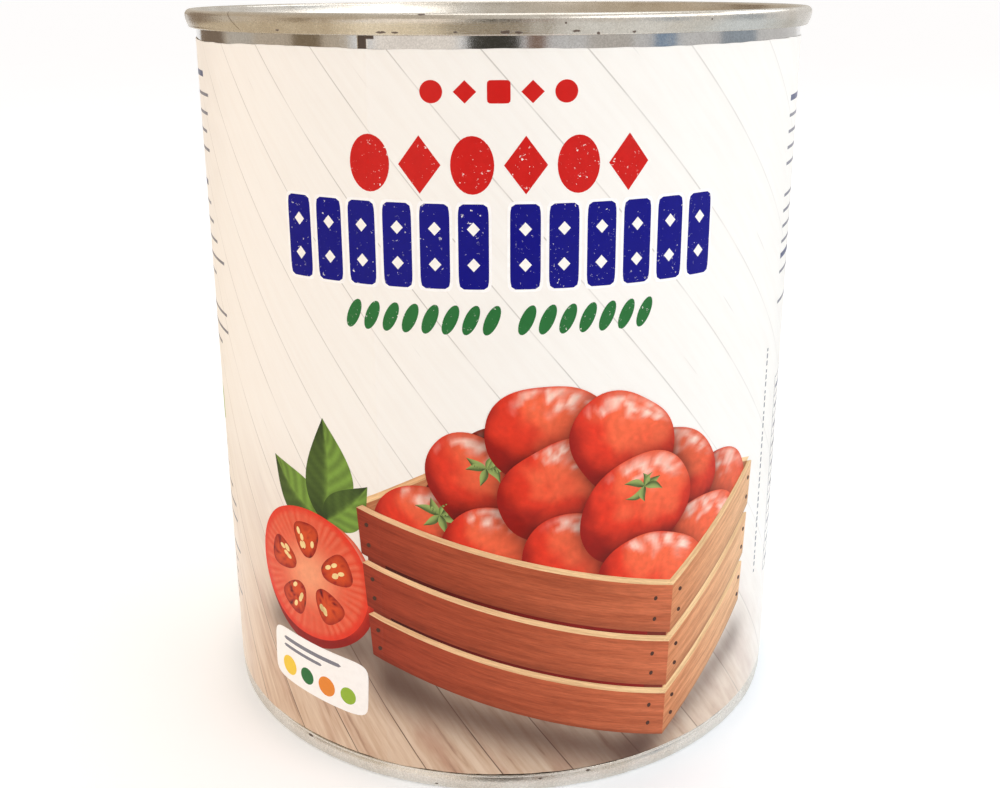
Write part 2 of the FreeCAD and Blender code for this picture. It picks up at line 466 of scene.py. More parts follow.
def report(piece: Piece, slot: str, *nodes: str) -> Piece:
    """Makes a piece ride on the can, hides the CAD nodes it stands for, and logs its face count.

    Args:
        piece: The finished piece.
        slot: The record's material slot; not used.
        *nodes: The CAD nodes that the piece replaces.

    Returns:
        The same piece.
    """
    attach(piece, ROOT)
    if nodes:
        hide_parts(*nodes)
    logging.info("%s: %d faces", piece.name, len(piece.data.polygons))
    return piece


def dressed(piece: Piece, material: Material) -> Piece:
    """The piece with that material on all of it."""
    piece.data.materials.append(material)
    return piece


def even_turn(count: int) -> Array:
    """Azimuths in radians, evenly round the can from the back, anticlockwise from above."""
    return -math.pi + TAU * np.arange(count) / count


def revolved(section: Array, azimuth: Array, swell: Array | float = 0.0,
             rise: Array | float = 0.0) -> Surface:
    """A section carried round the can's axis, with both its ends on the axis.

    Formula: at azimuth a from the front towards +X, a section point of radius r and height z lies at
    ((r + swell) * sin a, -(r + swell) * cos a, z + rise). The first and last section points are the poles.

    Args:
        section: One (radius, height) row in millimetres a point, from the lower pole to the upper.
        azimuth: The turns in radians.
        swell: What is added to the radius, one value a section point and azimuth between the poles.
        rise: What is added to the height, in the same form.

    Returns:
        A closed surface, in metres.
    """
    ring = section[1:-1]
    radius = ring[:, :1] + swell + 0.0 * azimuth
    height = ring[:, 1:] + rise + 0.0 * azimuth
    around = np.stack([radius * np.sin(azimuth), -radius * np.cos(azimuth), height], axis=-1).reshape(-1, 3)
    poles = np.array([[0.0, 0.0, section[0, 1]], [0.0, 0.0, section[-1, 1]]])
    count, rows = len(azimuth), len(ring)
    column = np.arange(count)
    beside = (column + 1) % count
    low_pole, high_pole, last_row = count * rows, count * rows + 1, (rows - 1) * count
    fans = np.concatenate([
        np.stack([np.full(count, low_pole), beside, column], axis=1),
        np.stack([last_row + column, last_row + beside, np.full(count, high_pole)], axis=1),
    ])
    return Surface(np.concatenate([around, poles]) * MM, grid_quads(rows, count, True), fans)


@dataclass
class SeamedEnd:
    """An end of the can: its double seam, the wall and groove inside it, and its beaded panel.

    The section is laid out in depth below the seam's crest, and turned over for the top of the can. Lengths
    are in millimetres, and the widths of the dents are in radians.
    """

    name: str
    node: str
    slot: str
    upper: bool
    dent_seed: int
    seam_thickness: float = 1.4
    seam_height: float = 2.82
    seam_round: float = 0.55
    shoulder_round: float = 0.85
    tuck: float = 0.42
    lip_round: float = 0.35
    wall_lean: float = 0.73
    groove_radius: float = 0.6
    groove_depth: float = 4.4
    panel_depth: float = 3.3
    panel_round: float = 0.35
    bead_insets: tuple[float, ...] = (3.6, 9.0)
    bead_half_width: float = 1.5
    bead_height: float = 0.5
    step_inset: float = 13.6
    step_run: float = 1.4
    step_depth: float = 0.55
    skirt: float = 1.88
    columns: int = 420
    middle_rings: int = 14
    panel_rings: int = 82
    dents: int = 26
    dent_widths: tuple[float, float] = (0.008, 0.03)
    dent_depths: tuple[float, float] = (0.01, 0.06)
    panel_rise: float = 0.05

    def panel(self, rim: float) -> Array:
        """The panel from the middle out to its rim.

        Formula: the depth is the panel's own, deeper by the step's depth inside the step, with a smooth run
        between, and shallower on each bead by half the bead's height times (1 + cosine) across its width.

        Args:
            rim: The panel's outer radius where its rounded rim begins.

        Returns:
            One (radius, depth) row a point.
        """
        middle = rim - self.step_inset - self.step_run
        radius = np.concatenate([np.linspace(0.0, middle, self.middle_rings),
                                 np.linspace(middle, rim, self.panel_rings)[1:]])
        depth = self.panel_depth + self.step_depth * soft_step(
            rim - radius, self.step_inset, self.step_inset + self.step_run)
        for inset in self.bead_insets:
            away = np.clip(np.abs(radius - (rim - inset)) / self.bead_half_width, 0.0, 1.0)
            depth = depth - self.bead_height * 0.5 * (1.0 + np.cos(math.pi * away))
        return np.stack([radius, depth], axis=1)

    def section(self) -> Array:
        """The whole section, from the middle of the panel out over the seam and back under it.

        Returns:
            One (radius, height) row a point, from the lower pole to the upper.
        """
        low, high = node_corners(self.node)
        outer, bend, shoulder, lip = high[0], self.seam_round, self.shoulder_round, self.lip_round
        share = np.linspace(0.0, 1.0, 12)[1:-1]
        face = np.stack([outer - self.tuck * share ** 2,
                         shoulder + (self.seam_height - lip - shoulder) * share], axis=1)
        inner = outer - self.seam_thickness
        wall = inner - self.wall_lean
        groove = wall - self.groove_radius
        rim = groove - self.groove_radius - self.panel_round
        seat = self.groove_depth - self.groove_radius
        runs = [
            self.panel(rim),
            arc_points((rim, self.panel_depth + self.panel_round), self.panel_round, -90.0, 0.0, 9),
            arc_points((groove, seat), self.groove_radius, 180.0, 0.0, 17),
            np.array([[wall, self.seam_height]]),
            arc_points((inner + bend, bend), bend, 180.0, 270.0, 11),
            arc_points((outer - shoulder, shoulder), shoulder, 270.0, 360.0, 13),
            face,
            arc_points((outer - self.tuck - lip, self.seam_height - lip), lip, 0.0, 90.0, 8),
            np.array([
                [outer - self.skirt, self.seam_height],
                [outer - self.skirt, high[2] - low[2]],
                [0.0, high[2] - low[2]],
            ]),
        ]
        outline = resampled(np.concatenate(runs), 1.2)
        if self.upper:
            return np.stack([outline[::-1, 0], high[2] - outline[::-1, 1]], axis=1)
        return np.stack([outline[:, 0], low[2] + outline[:, 1]], axis=1)

    def build(self, material: Material) -> Piece:
        """Makes the end, with small dents round its seam and a slightly uneven panel.

        Formula: the seam's outer face goes in by a few hundredths of a millimetre at seeded azimuths, each
        dent a bell of its own width, and the panel rises and falls by a field of waves.

        Args:
            material: The tinplate finish.

        Returns:
            The finished piece.
        """
        section = self.section()
        azimuth = even_turn(self.columns)
        rng = np.random.default_rng(self.dent_seed)
        radius, height = section[1:-1, :1], section[1:-1, 1:]
        outside = soft_step(radius, section[:, 0].max() - 0.9, section[:, 0].max() - 0.2)
        dented = np.zeros_like(azimuth)
        turns = rng.uniform(-math.pi, math.pi, self.dents)
        widths = rng.uniform(*self.dent_widths, self.dents)
        depths = rng.uniform(*self.dent_depths, self.dents)
        for turn, width, depth in zip(turns, widths, depths):
            dented -= depth * np.exp(-(((azimuth - turn + math.pi) % TAU - math.pi) / width) ** 2)
        crest = 0.012 * np.sin(azimuth * 3.0 + 1.0) + 0.008 * np.sin(azimuth * 7.0)
        swell = outside * (dented + crest - 0.02)
        inside = 1.0 - soft_step(radius, section[:, 0].max() * 0.9, section[:, 0].max() * 0.95)
        across, along = radius * np.sin(azimuth), radius * np.cos(azimuth)
        shown = (height > section[:, 1].mean()) if self.upper else (height < section[:, 1].mean())
        rise = self.panel_rise * ripple(across, along, self.dent_seed, 34.0) * inside * shown
        return report(dressed(build_object(self.name, revolved(section, azimuth, swell, rise)), material),
                      self.slot, self.node)


@dataclass
class TinBody:
    """The straight tinplate wall with its necked-in foot and its side weld, in millimetres."""

    wall_gauge: float = 0.2
    neck_land: float = 0.5
    neck_length: float = 3.2
    weld_azimuth: float = -21.2
    weld_half_width: float = 0.65
    weld_height: float = 0.06
    seam_overhang: float = 1.68
    columns: int = 480

    def section(self) -> Array:
        """The wall's section: up the neck's two equal arcs, up the wall, and in over the closed top.

        Returns:
            One (radius, height) row a point, from the lower pole to the upper.
        """
        low, high = node_corners("can_body")
        wall = high[0]
        foot = node_corners("bottom_end")[1][0] - self.seam_overhang
        sunk_low, sunk_high = node_corners("bottom_end")[1][2], node_corners("top_end")[0][2]
        inward = wall - foot
        bend = (self.neck_length ** 2 + inward ** 2) / (4.0 * inward)
        sweep = math.degrees(math.asin(self.neck_length / 2.0 / bend))
        neck = low[2] + self.neck_land
        return resampled(np.concatenate([
            np.array([[0.0, sunk_low], [foot - self.wall_gauge, sunk_low], [foot - self.wall_gauge, low[2]],
                      [foot, low[2]]]),
            arc_points((foot + bend, neck), bend, 180.0, 180.0 - sweep, 14),
            arc_points((wall - bend, neck + self.neck_length), bend, -sweep, 0.0, 14),
            np.array([[wall, high[2]], [wall - self.wall_gauge, high[2]],
                      [wall - self.wall_gauge, sunk_high], [0.0, sunk_high]]),
        ]), 4.0)

    def build(self, material: Material) -> Piece:
        """Makes the body, with the weld standing out of the wall above the neck.

        Args:
            material: The tinplate finish.

        Returns:
            The finished piece.
        """
        section = self.section()
        wall = section[:, 0].max()
        weld = math.radians(self.weld_azimuth)
        half = self.weld_half_width / wall
        near = weld + half * np.linspace(-1.6, 1.6, 17)
        azimuth = np.sort(np.concatenate([even_turn(self.columns), near]))
        ridge = self.weld_height * (1.0 - soft_step(np.abs(azimuth - weld), 0.7 * half, 1.05 * half))
        on_wall = section[1:-1, :1] > wall - 0.001
        piece = build_object("tin_body", revolved(section, azimuth, ridge * on_wall))
        return report(dressed(piece, material), "body_tinplate", "can_body")


# --- the paper wrap ---


@dataclass(frozen=True)
class WrapForm:
    """Where the paper lies: its radius at every place, which the print on it follows. In millimetres."""

    radius: float
    foot: float
    head: float
    gauge: float = 0.11
    lap_width: float = 9.0
    crease_u: float = -18.2
    crease_width: float = 1.7
    crease_height: float = 0.06
    crease_lean: float = 0.006
    unevenness: float = 0.012

    @classmethod
    def from_frame(cls) -> "WrapForm":
        """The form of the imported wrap: the lap at the back is left out of its radius."""
        low, high = node_corners("label")
        return cls(radius=high[0], foot=low[2], head=high[2])

    @property
    def free_edge(self) -> float:
        """The azimuth, in radians, at which the outer layer of the glued lap ends."""
        return math.pi - 0.5 * self.lap_width / self.radius

    def swell(self, u: Array, v: Array) -> Array:
        """How far the paper stands out of its plain radius.

        Formula: a narrow bell over the weld, and a gentle unevenness that is longer up the can than round it.

        Args:
            u: The way round from the front.
            v: The height.

        Returns:
            The swell in millimetres.
        """
        away = u - self.crease_u - self.crease_lean * (v - 60.0)
        crease = self.crease_height * np.exp(-(away / self.crease_width) ** 2)
        return crease + self.unevenness * (1.0 + ripple(u, v * 0.3, seed=11, wavelength=26.0))

    def place(self, u: Array, v: Array, lift: Array | float) -> Array:
        """The point at u and v on the wrap, lifted off it, in metres.

        Formula: with the azimuth a = u / radius, the point is (r sin a, -r cos a, v), where r is the radius
        with the swell and the lift added.

        Args:
            u: The way round from the front.
            v: The height.
            lift: The distance off the paper.

        Returns:
            One x, y, z a place.
        """
        reach = self.radius + self.swell(u, v) + lift
        azimuth = u / self.radius
        return np.stack([reach * np.sin(azimuth), -reach * np.cos(azimuth), v + 0.0 * u], axis=-1) * MM


@dataclass
class PaperWrap:
    """The wrap itself: a thin closed tube whose outer face takes the print."""

    form: WrapForm
    rows: int = 150
    inner_rows: int = 12
    columns: int = 560
    edge_waver: float = 0.1
    edge_zone: float = 2.5
    end_gap: float = 0.02

    def near_edge(self, height: Array) -> Array:
        """How near each height lies to the wrap's upper or lower edge: 1 at the edge, 0 past its zone."""
        inside = np.minimum(height - self.form.foot, self.form.head - height)
        return 1.0 - soft_step(inside, 0.0, self.edge_zone)

    def build(self, material: Material, shade: "SoftShadows") -> Piece:
        """Makes the paper tube with its glued lap.

        Formula: going round from the free edge of the lap, the outer face stands one sheet further out until
        the sheet under it ends, where it comes down over a millimetre and a half. The upper and lower
        edges waver a little with the azimuth.

        Args:
            material: The paper finish.
            shade: The soft shadows printed under the picture.

        Returns:
            The finished piece.
        """
        form = self.form
        start = form.free_edge - TAU
        turn = np.linspace(0.0, TAU - self.end_gap / form.radius, self.columns)
        crease = form.crease_u / form.radius - start + np.linspace(-0.03, 0.03, 25)
        lap = form.lap_width / form.radius + np.linspace(-0.03, 0.03, 7)
        turn = np.sort(np.concatenate([turn, crease, lap]))
        u = ((start + turn) * form.radius)[None, :]
        over = 1.0 - soft_step(turn * form.radius, form.lap_width - 0.7, form.lap_width + 0.8)
        height = np.linspace(form.foot, form.head, self.rows)[:, None]
        long_waver = ripple(u, 0.0 * u, seed=5, wavelength=46.0)
        waver = self.edge_waver * (long_waver + 0.35 * ripple(u, 0.0 * u, seed=6, wavelength=5.0))
        outer = form.place(u, height + waver * self.near_edge(height), over * form.gauge)
        inner_height = np.linspace(form.head, form.foot, self.inner_rows)[:, None]
        inner = form.place(u, inner_height + waver * self.near_edge(inner_height), -form.gauge)
        points = np.concatenate([outer, inner]).reshape(-1, 3)
        quads = grid_quads(self.rows + self.inner_rows, len(turn), True, True)
        tone = np.concatenate([shade.at(u, height), np.zeros_like(inner_height + u)]).ravel()
        surface = Surface(points, quads, values={SHADE: tone})
        return report(dressed(build_object("paper_wrap", surface, 60.0), material), "wrap_paper", "label")


@dataclass(frozen=True)
class ShadowBand:
    """One printed shadow: the ends of its line and its width in millimetres, and its strength, 0 to 1."""

    start_u: float
    start_v: float
    end_u: float
    end_v: float
    width: float
    strength: float


@dataclass(frozen=True)
class SoftShadows:
    """The printed shadows on the planks, each a soft band along a line."""

    bands: tuple[ShadowBand, ...]

    def at(self, u: Array, v: Array) -> Array:
        """How dark the shadow is at each place.

        Formula: for each band, the distance to its line gives a bell of the band's width, times its strength;
        what is left of the light after each band is multiplied together.

        Args:
            u: The way round from the front.
            v: The height.

        Returns:
            Values from 0, none, to 1, full shadow.
        """
        light = np.ones(np.broadcast(u, v).shape)
        for band in self.bands:
            along_u, along_v = band.end_u - band.start_u, band.end_v - band.start_v
            from_u, from_v = u - band.start_u, v - band.start_v
            length_squared = along_u ** 2 + along_v ** 2
            share = np.clip((from_u * along_u + from_v * along_v) / length_squared, 0.0, 1.0)
            away = np.hypot(from_u - share * along_u, from_v - share * along_v)
            light = light * (1.0 - band.strength * np.exp(-((away / band.width) ** 2)))
        return 1.0 - light


# --- finishes ---


@dataclass(frozen=True)
class Blot:
    """A rust blot: its azimuth in degrees, half its width in radians, its height and half of its own height.

    Both heights are in millimetres.
    """

    azimuth: float
    height: float
    half_turn: float
    half_height: float


@dataclass(frozen=True)
class Tinplate:
    """Bright tinplate: a fine rolled grain, faint scuffs, and a thin uneven bloom of lacquer.

    It may also carry rust blots, one dark scratch across the top seam, and the weld's dark mark with a short
    hook at its upper end. Their heights are in metres and their turns in radians.
    """

    name: str
    colour: Triple
    bloom: Triple
    roughness: float
    grain: float
    blots: tuple[Blot, ...] = ()
    scratch: bool = False
    weld_azimuth: float | None = None
    scratch_azimuth: float = -0.846
    scratch_top: float = 0.1179
    scratch_slope: float = 24.0
    scratch_foot: tuple[float, float] = (0.1153, 0.1158)
    weld_half_turn: tuple[float, float] = (0.0105, 0.0135)
    hook_offset: float = 0.018
    hook_half_turn: tuple[float, float] = (0.014, 0.018)
    hook_foot: tuple[float, float] = (0.11462, 0.11478)

    def make(self) -> Material:
        """Builds the material: noise on the object's own coordinates, stretched round the can for the grain.

        Returns:
            The material.
        """
        shader = Shader(self.name)
        place = shader.object_place()
        grain = shader.noise(shader.scaled(place, (1.0, 1.0, 9.0)), 900.0, 4.0, 0.6)
        sand = shader.noise(place, 3800.0, 3.0, 0.7)
        bloom = shader.noise(place, 120.0, 4.0, 0.6)
        scuffed = shader.noise(shader.scaled(place, (1.0, 1.0, 0.35), 20.0), 420.0, 5.0, 0.7)
        scuffs = shader.remap(scuffed, 0.56, 0.7)
        colour = shader.mixed(shader.remap(bloom, 0.35, 0.7), (*self.colour, 1.0), (*self.bloom, 1.0))
        fleck = shader.remap(sand, 0.3, 0.75, 0.86, 1.08)
        colour = shader.mixed(1.0, colour, fleck, "MULTIPLY")
        across, along, height = shader.parts(place)
        azimuth = shader.azimuth(across, along)
        metal = 1.0
        ragged = shader.times(shader.minus(shader.noise(place, 2200.0, 3.0, 0.65), 0.5), 3.2)
        for blot in self.blots:
            aside = shader.math("DIVIDE", shader.minus(azimuth, math.radians(blot.azimuth)), blot.half_turn)
            above = shader.math("DIVIDE", shader.minus(height, blot.height * MM), blot.half_height * MM)
            away = shader.plus(shader.times(aside, aside), shader.times(above, above))
            stain = shader.remap(shader.plus(away, ragged), 0.5, 1.2, 0.9, 0.0)
            colour = shader.mixed(stain, colour, rgba(Tint.RUST))
            metal = shader.minus(metal, shader.times(stain, 0.8), True)
        if self.scratch:
            run = shader.times(shader.minus(self.scratch_top, height), self.scratch_slope)
            away = shader.gap(shader.minus(azimuth, self.scratch_azimuth), run)
            line = shader.remap(away, 0.0012, 0.0032, 0.75, 0.0)
            mark = shader.times(line, shader.remap(height, *self.scratch_foot))
            colour = shader.mixed(mark, colour, rgba(Tint.SCRATCH))
        if self.weld_azimuth is not None:
            offset = shader.minus(azimuth, math.radians(self.weld_azimuth))
            bar = shader.remap(shader.math("ABSOLUTE", offset), *self.weld_half_turn, 1.0, 0.0)
            hook = shader.remap(shader.gap(offset, self.hook_offset), *self.hook_half_turn, 1.0, 0.0)
            top = shader.remap(height, *self.hook_foot)
            mark = shader.math("MAXIMUM", bar, shader.times(hook, top))
            colour = shader.mixed(mark, colour, rgba(Tint.WELD_BURN))
            metal = shader.minus(metal, shader.times(mark, 0.6), True)
        rough = shader.remap(grain, 0.2, 0.8, self.roughness * 0.8, self.roughness * 1.25)
        rough = shader.plus(rough, shader.times(scuffs, 0.1), True)
        shader.set(Base_Color=colour, Metallic=metal, Roughness=rough)
        shader.bumped(shader.plus(shader.times(grain, 0.6), sand), self.grain, 0.00002)
        return shader.material


@dataclass(frozen=True)
class PlankPaper:
    """Coated paper printed all over with pale planks, which turn to warmer wood towards the foot.

    The plank joints fan out from one far point up and to the left, so the joints lie at even steps of the
    angle about it, with the steps widening a little to the right.
    """

    form: WrapForm
    fan_u: float = -300.0
    fan_v: float = 450.0
    first_angle: float = 37.97
    rate: float = 0.913
    widening: float = -0.018
    widening_from: float = -4.0
    widening_to: float = 10.0
    joint_half: float = 0.0085

    def make(self) -> Material:
        """Builds the material from the way round and the height, worked out of the object's coordinates.

        Returns:
            The material.
        """
        shader = Shader("plank_paper")
        place = shader.object_place()
        shift = math.pi - self.form.free_edge
        turned = shader.scaled(place, IN_MILLIMETRES, math.degrees(shift))
        across, along, _ = shader.parts(turned)
        _, _, height = shader.parts(shader.scaled(place, IN_MILLIMETRES))
        azimuth = shader.minus(shader.azimuth(across, along), shift)
        u = shader.times(azimuth, self.form.radius)
        from_u = shader.minus(u, self.fan_u)
        from_v = shader.minus(self.fan_v, height)
        angle = shader.times(shader.math("ARCTAN2", from_u, from_v), 180.0 / math.pi)
        step = shader.minus(angle, self.first_angle)
        held = shader.math("MINIMUM", shader.math("MAXIMUM", step, self.widening_from), self.widening_to)
        bend = shader.times(shader.times(held, held), self.widening)
        count = shader.plus(shader.times(step, self.rate), bend)
        plank = shader.math("FLOOR", shader.plus(count, 0.5))
        nearest = shader.gap(count, plank)
        share = shader.math("FRACT", count)
        board = shader.math("FLOOR", count)
        far = shader.math("SQRT", shader.plus(shader.times(from_u, from_u), shader.times(from_v, from_v)))
        fibre_place = shader.vector(shader.times(count, 6.0), shader.times(far, 0.05), board)
        fibre = shader.noise(fibre_place, 1.6, 6.0, 0.62)
        patch_place = shader.vector(shader.times(count, 1.6), shader.times(far, 0.045), board)
        patches = shader.noise(patch_place, 1.0, 4.0, 0.6)
        # how much of the bare wood shows: most at the lower left, less round both sides, and none high up
        slope = shader.plus(height, shader.times(shader.math("MAXIMUM", u, 10.0), 0.5))
        wood = shader.remap(slope, 10.0, 66.0, 1.0, 0.0)
        side = shader.remap(shader.math("ABSOLUTE", u), 42.0, 70.0, 1.0, 0.3)
        wood = shader.times(wood, side)
        tone = shader.mixed(shader.remap(fibre, 0.3, 0.75), rgba(Tint.TABLE_LIGHT), rgba(Tint.TABLE))
        tone = shader.mixed(shader.remap(patches, 0.45, 0.72, 0.0, 0.85), tone, rgba(Tint.TABLE_WARM))
        streak = shader.times(shader.remap(fibre, 0.58, 0.72), shader.remap(patches, 0.4, 0.6))
        tone = shader.mixed(shader.times(streak, 0.7), tone, rgba(Tint.TABLE_DARK))
        colour = shader.mixed(wood, rgba(Tint.PAPER), tone)
        faint = shader.remap(fibre, 0.35, 0.7, 0.0, 0.05)
        colour = shader.mixed(faint, colour, rgba(Tint.TABLE))
        # the joints between the planks, fainter to the right, with a weaker split beside some of them
        breaks = shader.noise(shader.vector(plank, shader.times(far, 0.09), plank), 1.0, 2.0)
        line = shader.remap(nearest, self.joint_half * 0.5, self.joint_half * 1.6, 1.0, 0.0)
        depth = shader.remap(breaks, 0.3, 0.6, 0.18, 0.5)
        depth = shader.plus(depth, shader.times(wood, 0.5), True)
        depth = shader.times(depth, shader.remap(u, 12.0, 50.0, 1.0, 0.45))
        joint = shader.mixed(wood, rgba(Tint.PLANK_LINE), rgba(Tint.JOINT_DARK))
        colour = shader.mixed(shader.times(line, depth), colour, joint)
        split = shader.remap(shader.gap(share, 0.42), 0.002, 0.012, 1.0, 0.0)
        split = shader.times(split, shader.remap(breaks, 0.55, 0.7, 0.0, 0.25))
        colour = shader.mixed(split, colour, joint)
        shadow = shader.attribute(SHADE, "Fac")
        colour = shader.mixed(shadow, colour, rgba(Tint.SHADOW))
        rough = shader.remap(shader.noise(place, 260.0, 3.0), 0.3, 0.7, 0.36, 0.48)
        shader.set(Base_Color=colour, Roughness=rough, Specular_IOR_Level=0.28)
        shader.paper_bump(place)
        return shader.material


@dataclass(frozen=True)
class PrintInk:
    """Printing ink on coated paper: its own colour at every point, a fine mottle, and small worn specks."""

    name: str
    mottle: float = 0.06
    wear: float = 0.0
    roughness: float = 0.34

    def make(self) -> Material:
        """Builds the material from the colour kept at the points.

        Returns:
            The material.
        """
        shader = Shader(self.name)
        place = shader.object_place()
        colour = shader.attribute(INK, "Color")
        cloud = shader.noise(place, 900.0, 4.0, 0.65)
        mottle = shader.remap(cloud, 0.25, 0.75, 1.0 - self.mottle, 1.0 + self.mottle)
        colour = shader.mixed(1.0, colour, mottle, "MULTIPLY")
        if self.wear > 0.0:
            specks = shader.remap(shader.noise(place, 1700.0, 3.0, 0.75), 0.685 - self.wear, 0.72 - self.wear)
            rubs = shader.remap(shader.noise(place, 230.0, 3.0, 0.6), 0.42, 0.62, 0.15, 1.0)
            colour = shader.mixed(shader.times(specks, rubs), colour, rgba(Tint.PAPER))
        satin = shader.noise(place, 300.0, 3.0)
        rough = shader.remap(satin, 0.3, 0.7, self.roughness - 0.05, self.roughness + 0.07)
        shader.set(Base_Color=colour, Roughness=rough, Specular_IOR_Level=INK_SPECULAR)
        shader.paper_bump(place)
        return shader.material


@dataclass(frozen=True)
class PrintedWood:
    """The printed boards of the crate: ink whose colour is streaked along each board's own grain."""

    name: str = "printed_wood"

    def make(self) -> Material:
        """Builds the material from the colour and the board's own lengthwise and crosswise places.

        Returns:
            The material.
        """
        shader = Shader(self.name)
        place = shader.object_place()
        grain_place = shader.attribute(GRAIN, "Vector")
        colour = shader.attribute(INK, "Color")
        rings = shader.noise(shader.scaled(grain_place, (0.045, 0.9, 1.0)), 1.0, 5.0, 0.62)
        pores = shader.noise(shader.scaled(grain_place, (0.35, 5.0, 1.0)), 1.0, 3.0, 0.7)
        streak = shader.remap(rings, 0.36, 0.66)
        colour = shader.mixed(shader.times(streak, 0.5), colour,
                              shader.mixed(1.0, colour, rgba(Tint.WOOD_STREAK), "MULTIPLY"))
        fine = shader.remap(pores, 0.3, 0.72, 1.1, 0.8)
        colour = shader.mixed(1.0, colour, fine, "MULTIPLY")
        shader.set(Base_Color=colour, Roughness=0.36, Specular_IOR_Level=INK_SPECULAR)
        shader.paper_bump(place)
        return shader.material


@dataclass(frozen=True)
class PaleFloor:
    """The matt pale floor of the studio."""

    tone: float = 0.94
    glow: float = 0.27

    def make(self) -> Material:
        """Builds the material: near white with the faintest mottle.

        Returns:
            The material.
        """
        shader = Shader("pale_floor")
        cloud = shader.noise(shader.object_place(), 12.0, 3.0)
        mottle = shader.remap(cloud, 0.3, 0.7, self.tone - 0.01, self.tone)
        shader.set(Base_Color=shader.mixed(1.0, rgba(Tint.FLOOR), mottle, "MULTIPLY"), Roughness=0.9,
                   Specular_IOR_Level=0.0, Emission_Color=rgba(Tint.FLOOR_GLOW), Emission_Strength=self.glow)
        return shader.material


# --- the print: flat shapes of ink laid on the wrap ---

FILM_BASE = 0.012
FILM_STEP = 0.005
FILM_GRID = 0.75
BOARD_STRIDE = 37.0
SEPALS = 6


def tone_between(first: Array | Triple, second: Array | Triple, share: Array) -> Array:
    """The colour that lies the given share of the way from the first colour to the second."""
    return np.asarray(first) + (np.asarray(second) - np.asarray(first)) * np.asarray(share)[..., None]


@dataclass
class Patch:
    """One shape of ink: a grid of places on the wrap, with a colour at each.

    A fan's rows run outwards from its middle and its columns go round it. Any other patch is an open grid.
    """

    u: Array
    v: Array
    colour: Array
    layer: float
    fan: bool
    grain: Array | None = None

    def film(self, form: WrapForm) -> Surface:
        """Lays the shape on the wrap as a closed film.

        Formula: the grid is placed twice, a layer's lift off the paper and just off the paper, and a band of
        faces joins the two along the outline. A fan's middle is a single point on each side.

        Args:
            form: The wrap that carries it.

        Returns:
            A closed surface with its colours.
        """
        rows, columns = self.u.shape
        count = rows * columns
        quads = grid_quads(rows, columns, self.fan)
        index = np.arange(count).reshape(rows, columns)
        if self.fan:
            quads = quads[:, ::-1]
            border = index[-1]
            ring = index[0]
            triangles = np.stack([np.full(columns, 2 * count), ring, np.roll(ring, -1)], axis=1)
        else:
            border = np.concatenate([index[0, :-1], index[:-1, -1], index[-1, :0:-1], index[:0:-1, 0]])
            triangles = np.zeros((0, 3), np.int64)
        edge_u, edge_v = self.u.ravel()[border], self.v.ravel()[border]
        area = np.sum(edge_u * np.roll(edge_v, -1) - np.roll(edge_u, -1) * edge_v)
        following = np.roll(border, -1)
        rim = np.stack([border, border + count, following + count, following], axis=1)
        lift = FILM_BASE + FILM_STEP * self.layer
        top = form.place(self.u, self.v, lift).reshape(-1, 3)
        under = form.place(self.u, self.v, 0.5 * FILM_STEP).reshape(-1, 3)
        points, colours = [top, under], [self.colour.reshape(-1, 3)] * 2
        grains = [] if self.grain is None else [self.grain.reshape(-1, 3)] * 2
        if self.fan:
            middle_u, middle_v = np.array([self.u[0].mean()]), np.array([self.v[0].mean()])
            points += [form.place(middle_u, middle_v, lift), form.place(middle_u, middle_v, 0.5 * FILM_STEP)]
            colours += [self.colour[0].mean(axis=0, keepdims=True)] * 2
            grains += [self.grain[0].mean(axis=0, keepdims=True)] * 2 if grains else []
        lower = triangles[:, ::-1] + count
        lower[triangles[:, ::-1] == 2 * count] = 2 * count + 1
        values = {INK: np.clip(np.concatenate(colours), 0.0, 1.0)}
        if grains:
            values[GRAIN] = np.concatenate(grains)
        surface = Surface(np.concatenate(points), np.concatenate([quads, quads[:, ::-1] + count, rim]),
                          np.concatenate([triangles, lower]), values)
        return surface if area > 0.0 else surface.turned_over()


def fan_patch(u: Array, v: Array, layer: float, middle: tuple[float, float] | None = None) -> Patch:
    """A shape filled from its middle out to an outline, in even steps, with no colour yet.

    Args:
        u: The outline's way round, one value a point, anticlockwise.
        v: The outline's height.
        layer: How many shapes lie under it.
        middle: The point that it is filled from, or nothing for the outline's own middle.

    Returns:
        The patch, black.
    """
    centre_u, centre_v = middle or (u.mean(), v.mean())
    reach = np.hypot(u - centre_u, v - centre_v).max()
    rings = max(int(math.ceil(reach / FILM_GRID)), 3)
    share = (np.arange(1, rings + 1) / rings)[:, None]
    return Patch(centre_u + share * (u - centre_u), centre_v + share * (v - centre_v),
                 np.zeros((rings, len(u), 3)), layer, True)


def rounded_outline(half_u: float, half_v: float, squareness: float,
                    turn: float = 0.0) -> tuple[Array, Array]:
    """An outline from a lozenge (squareness 1) through an ellipse (2) to a rounded block (8 or so).

    Formula: the superellipse |x / a| ** n + |y / b| ** n = 1, divided into even steps along its length and
    turned about its middle.

    Args:
        half_u: Half its width.
        half_v: Half its height.
        squareness: The power n.
        turn: The turn in degrees, anticlockwise.

    Returns:
        The way round and the height of each point, from its middle.
    """
    angle = np.linspace(0.0, TAU, 721)
    cosine, sine = np.cos(angle), np.sin(angle)
    x = half_u * np.sign(cosine) * np.abs(cosine) ** (2.0 / squareness)
    y = half_v * np.sign(sine) * np.abs(sine) ** (2.0 / squareness)
    length = np.concatenate([[0.0], np.cumsum(np.hypot(np.diff(x), np.diff(y)))])
    count = 4 * max(int(math.ceil(length[-1] / FILM_GRID / 4.0)), 9)
    even = np.linspace(0.0, length[-1], count + 1)[:-1]
    x, y = np.interp(even, length, x), np.interp(even, length, y)
    cosine, sine = math.cos(math.radians(turn)), math.sin(math.radians(turn))
    return x * cosine - y * sine, x * sine + y * cosine


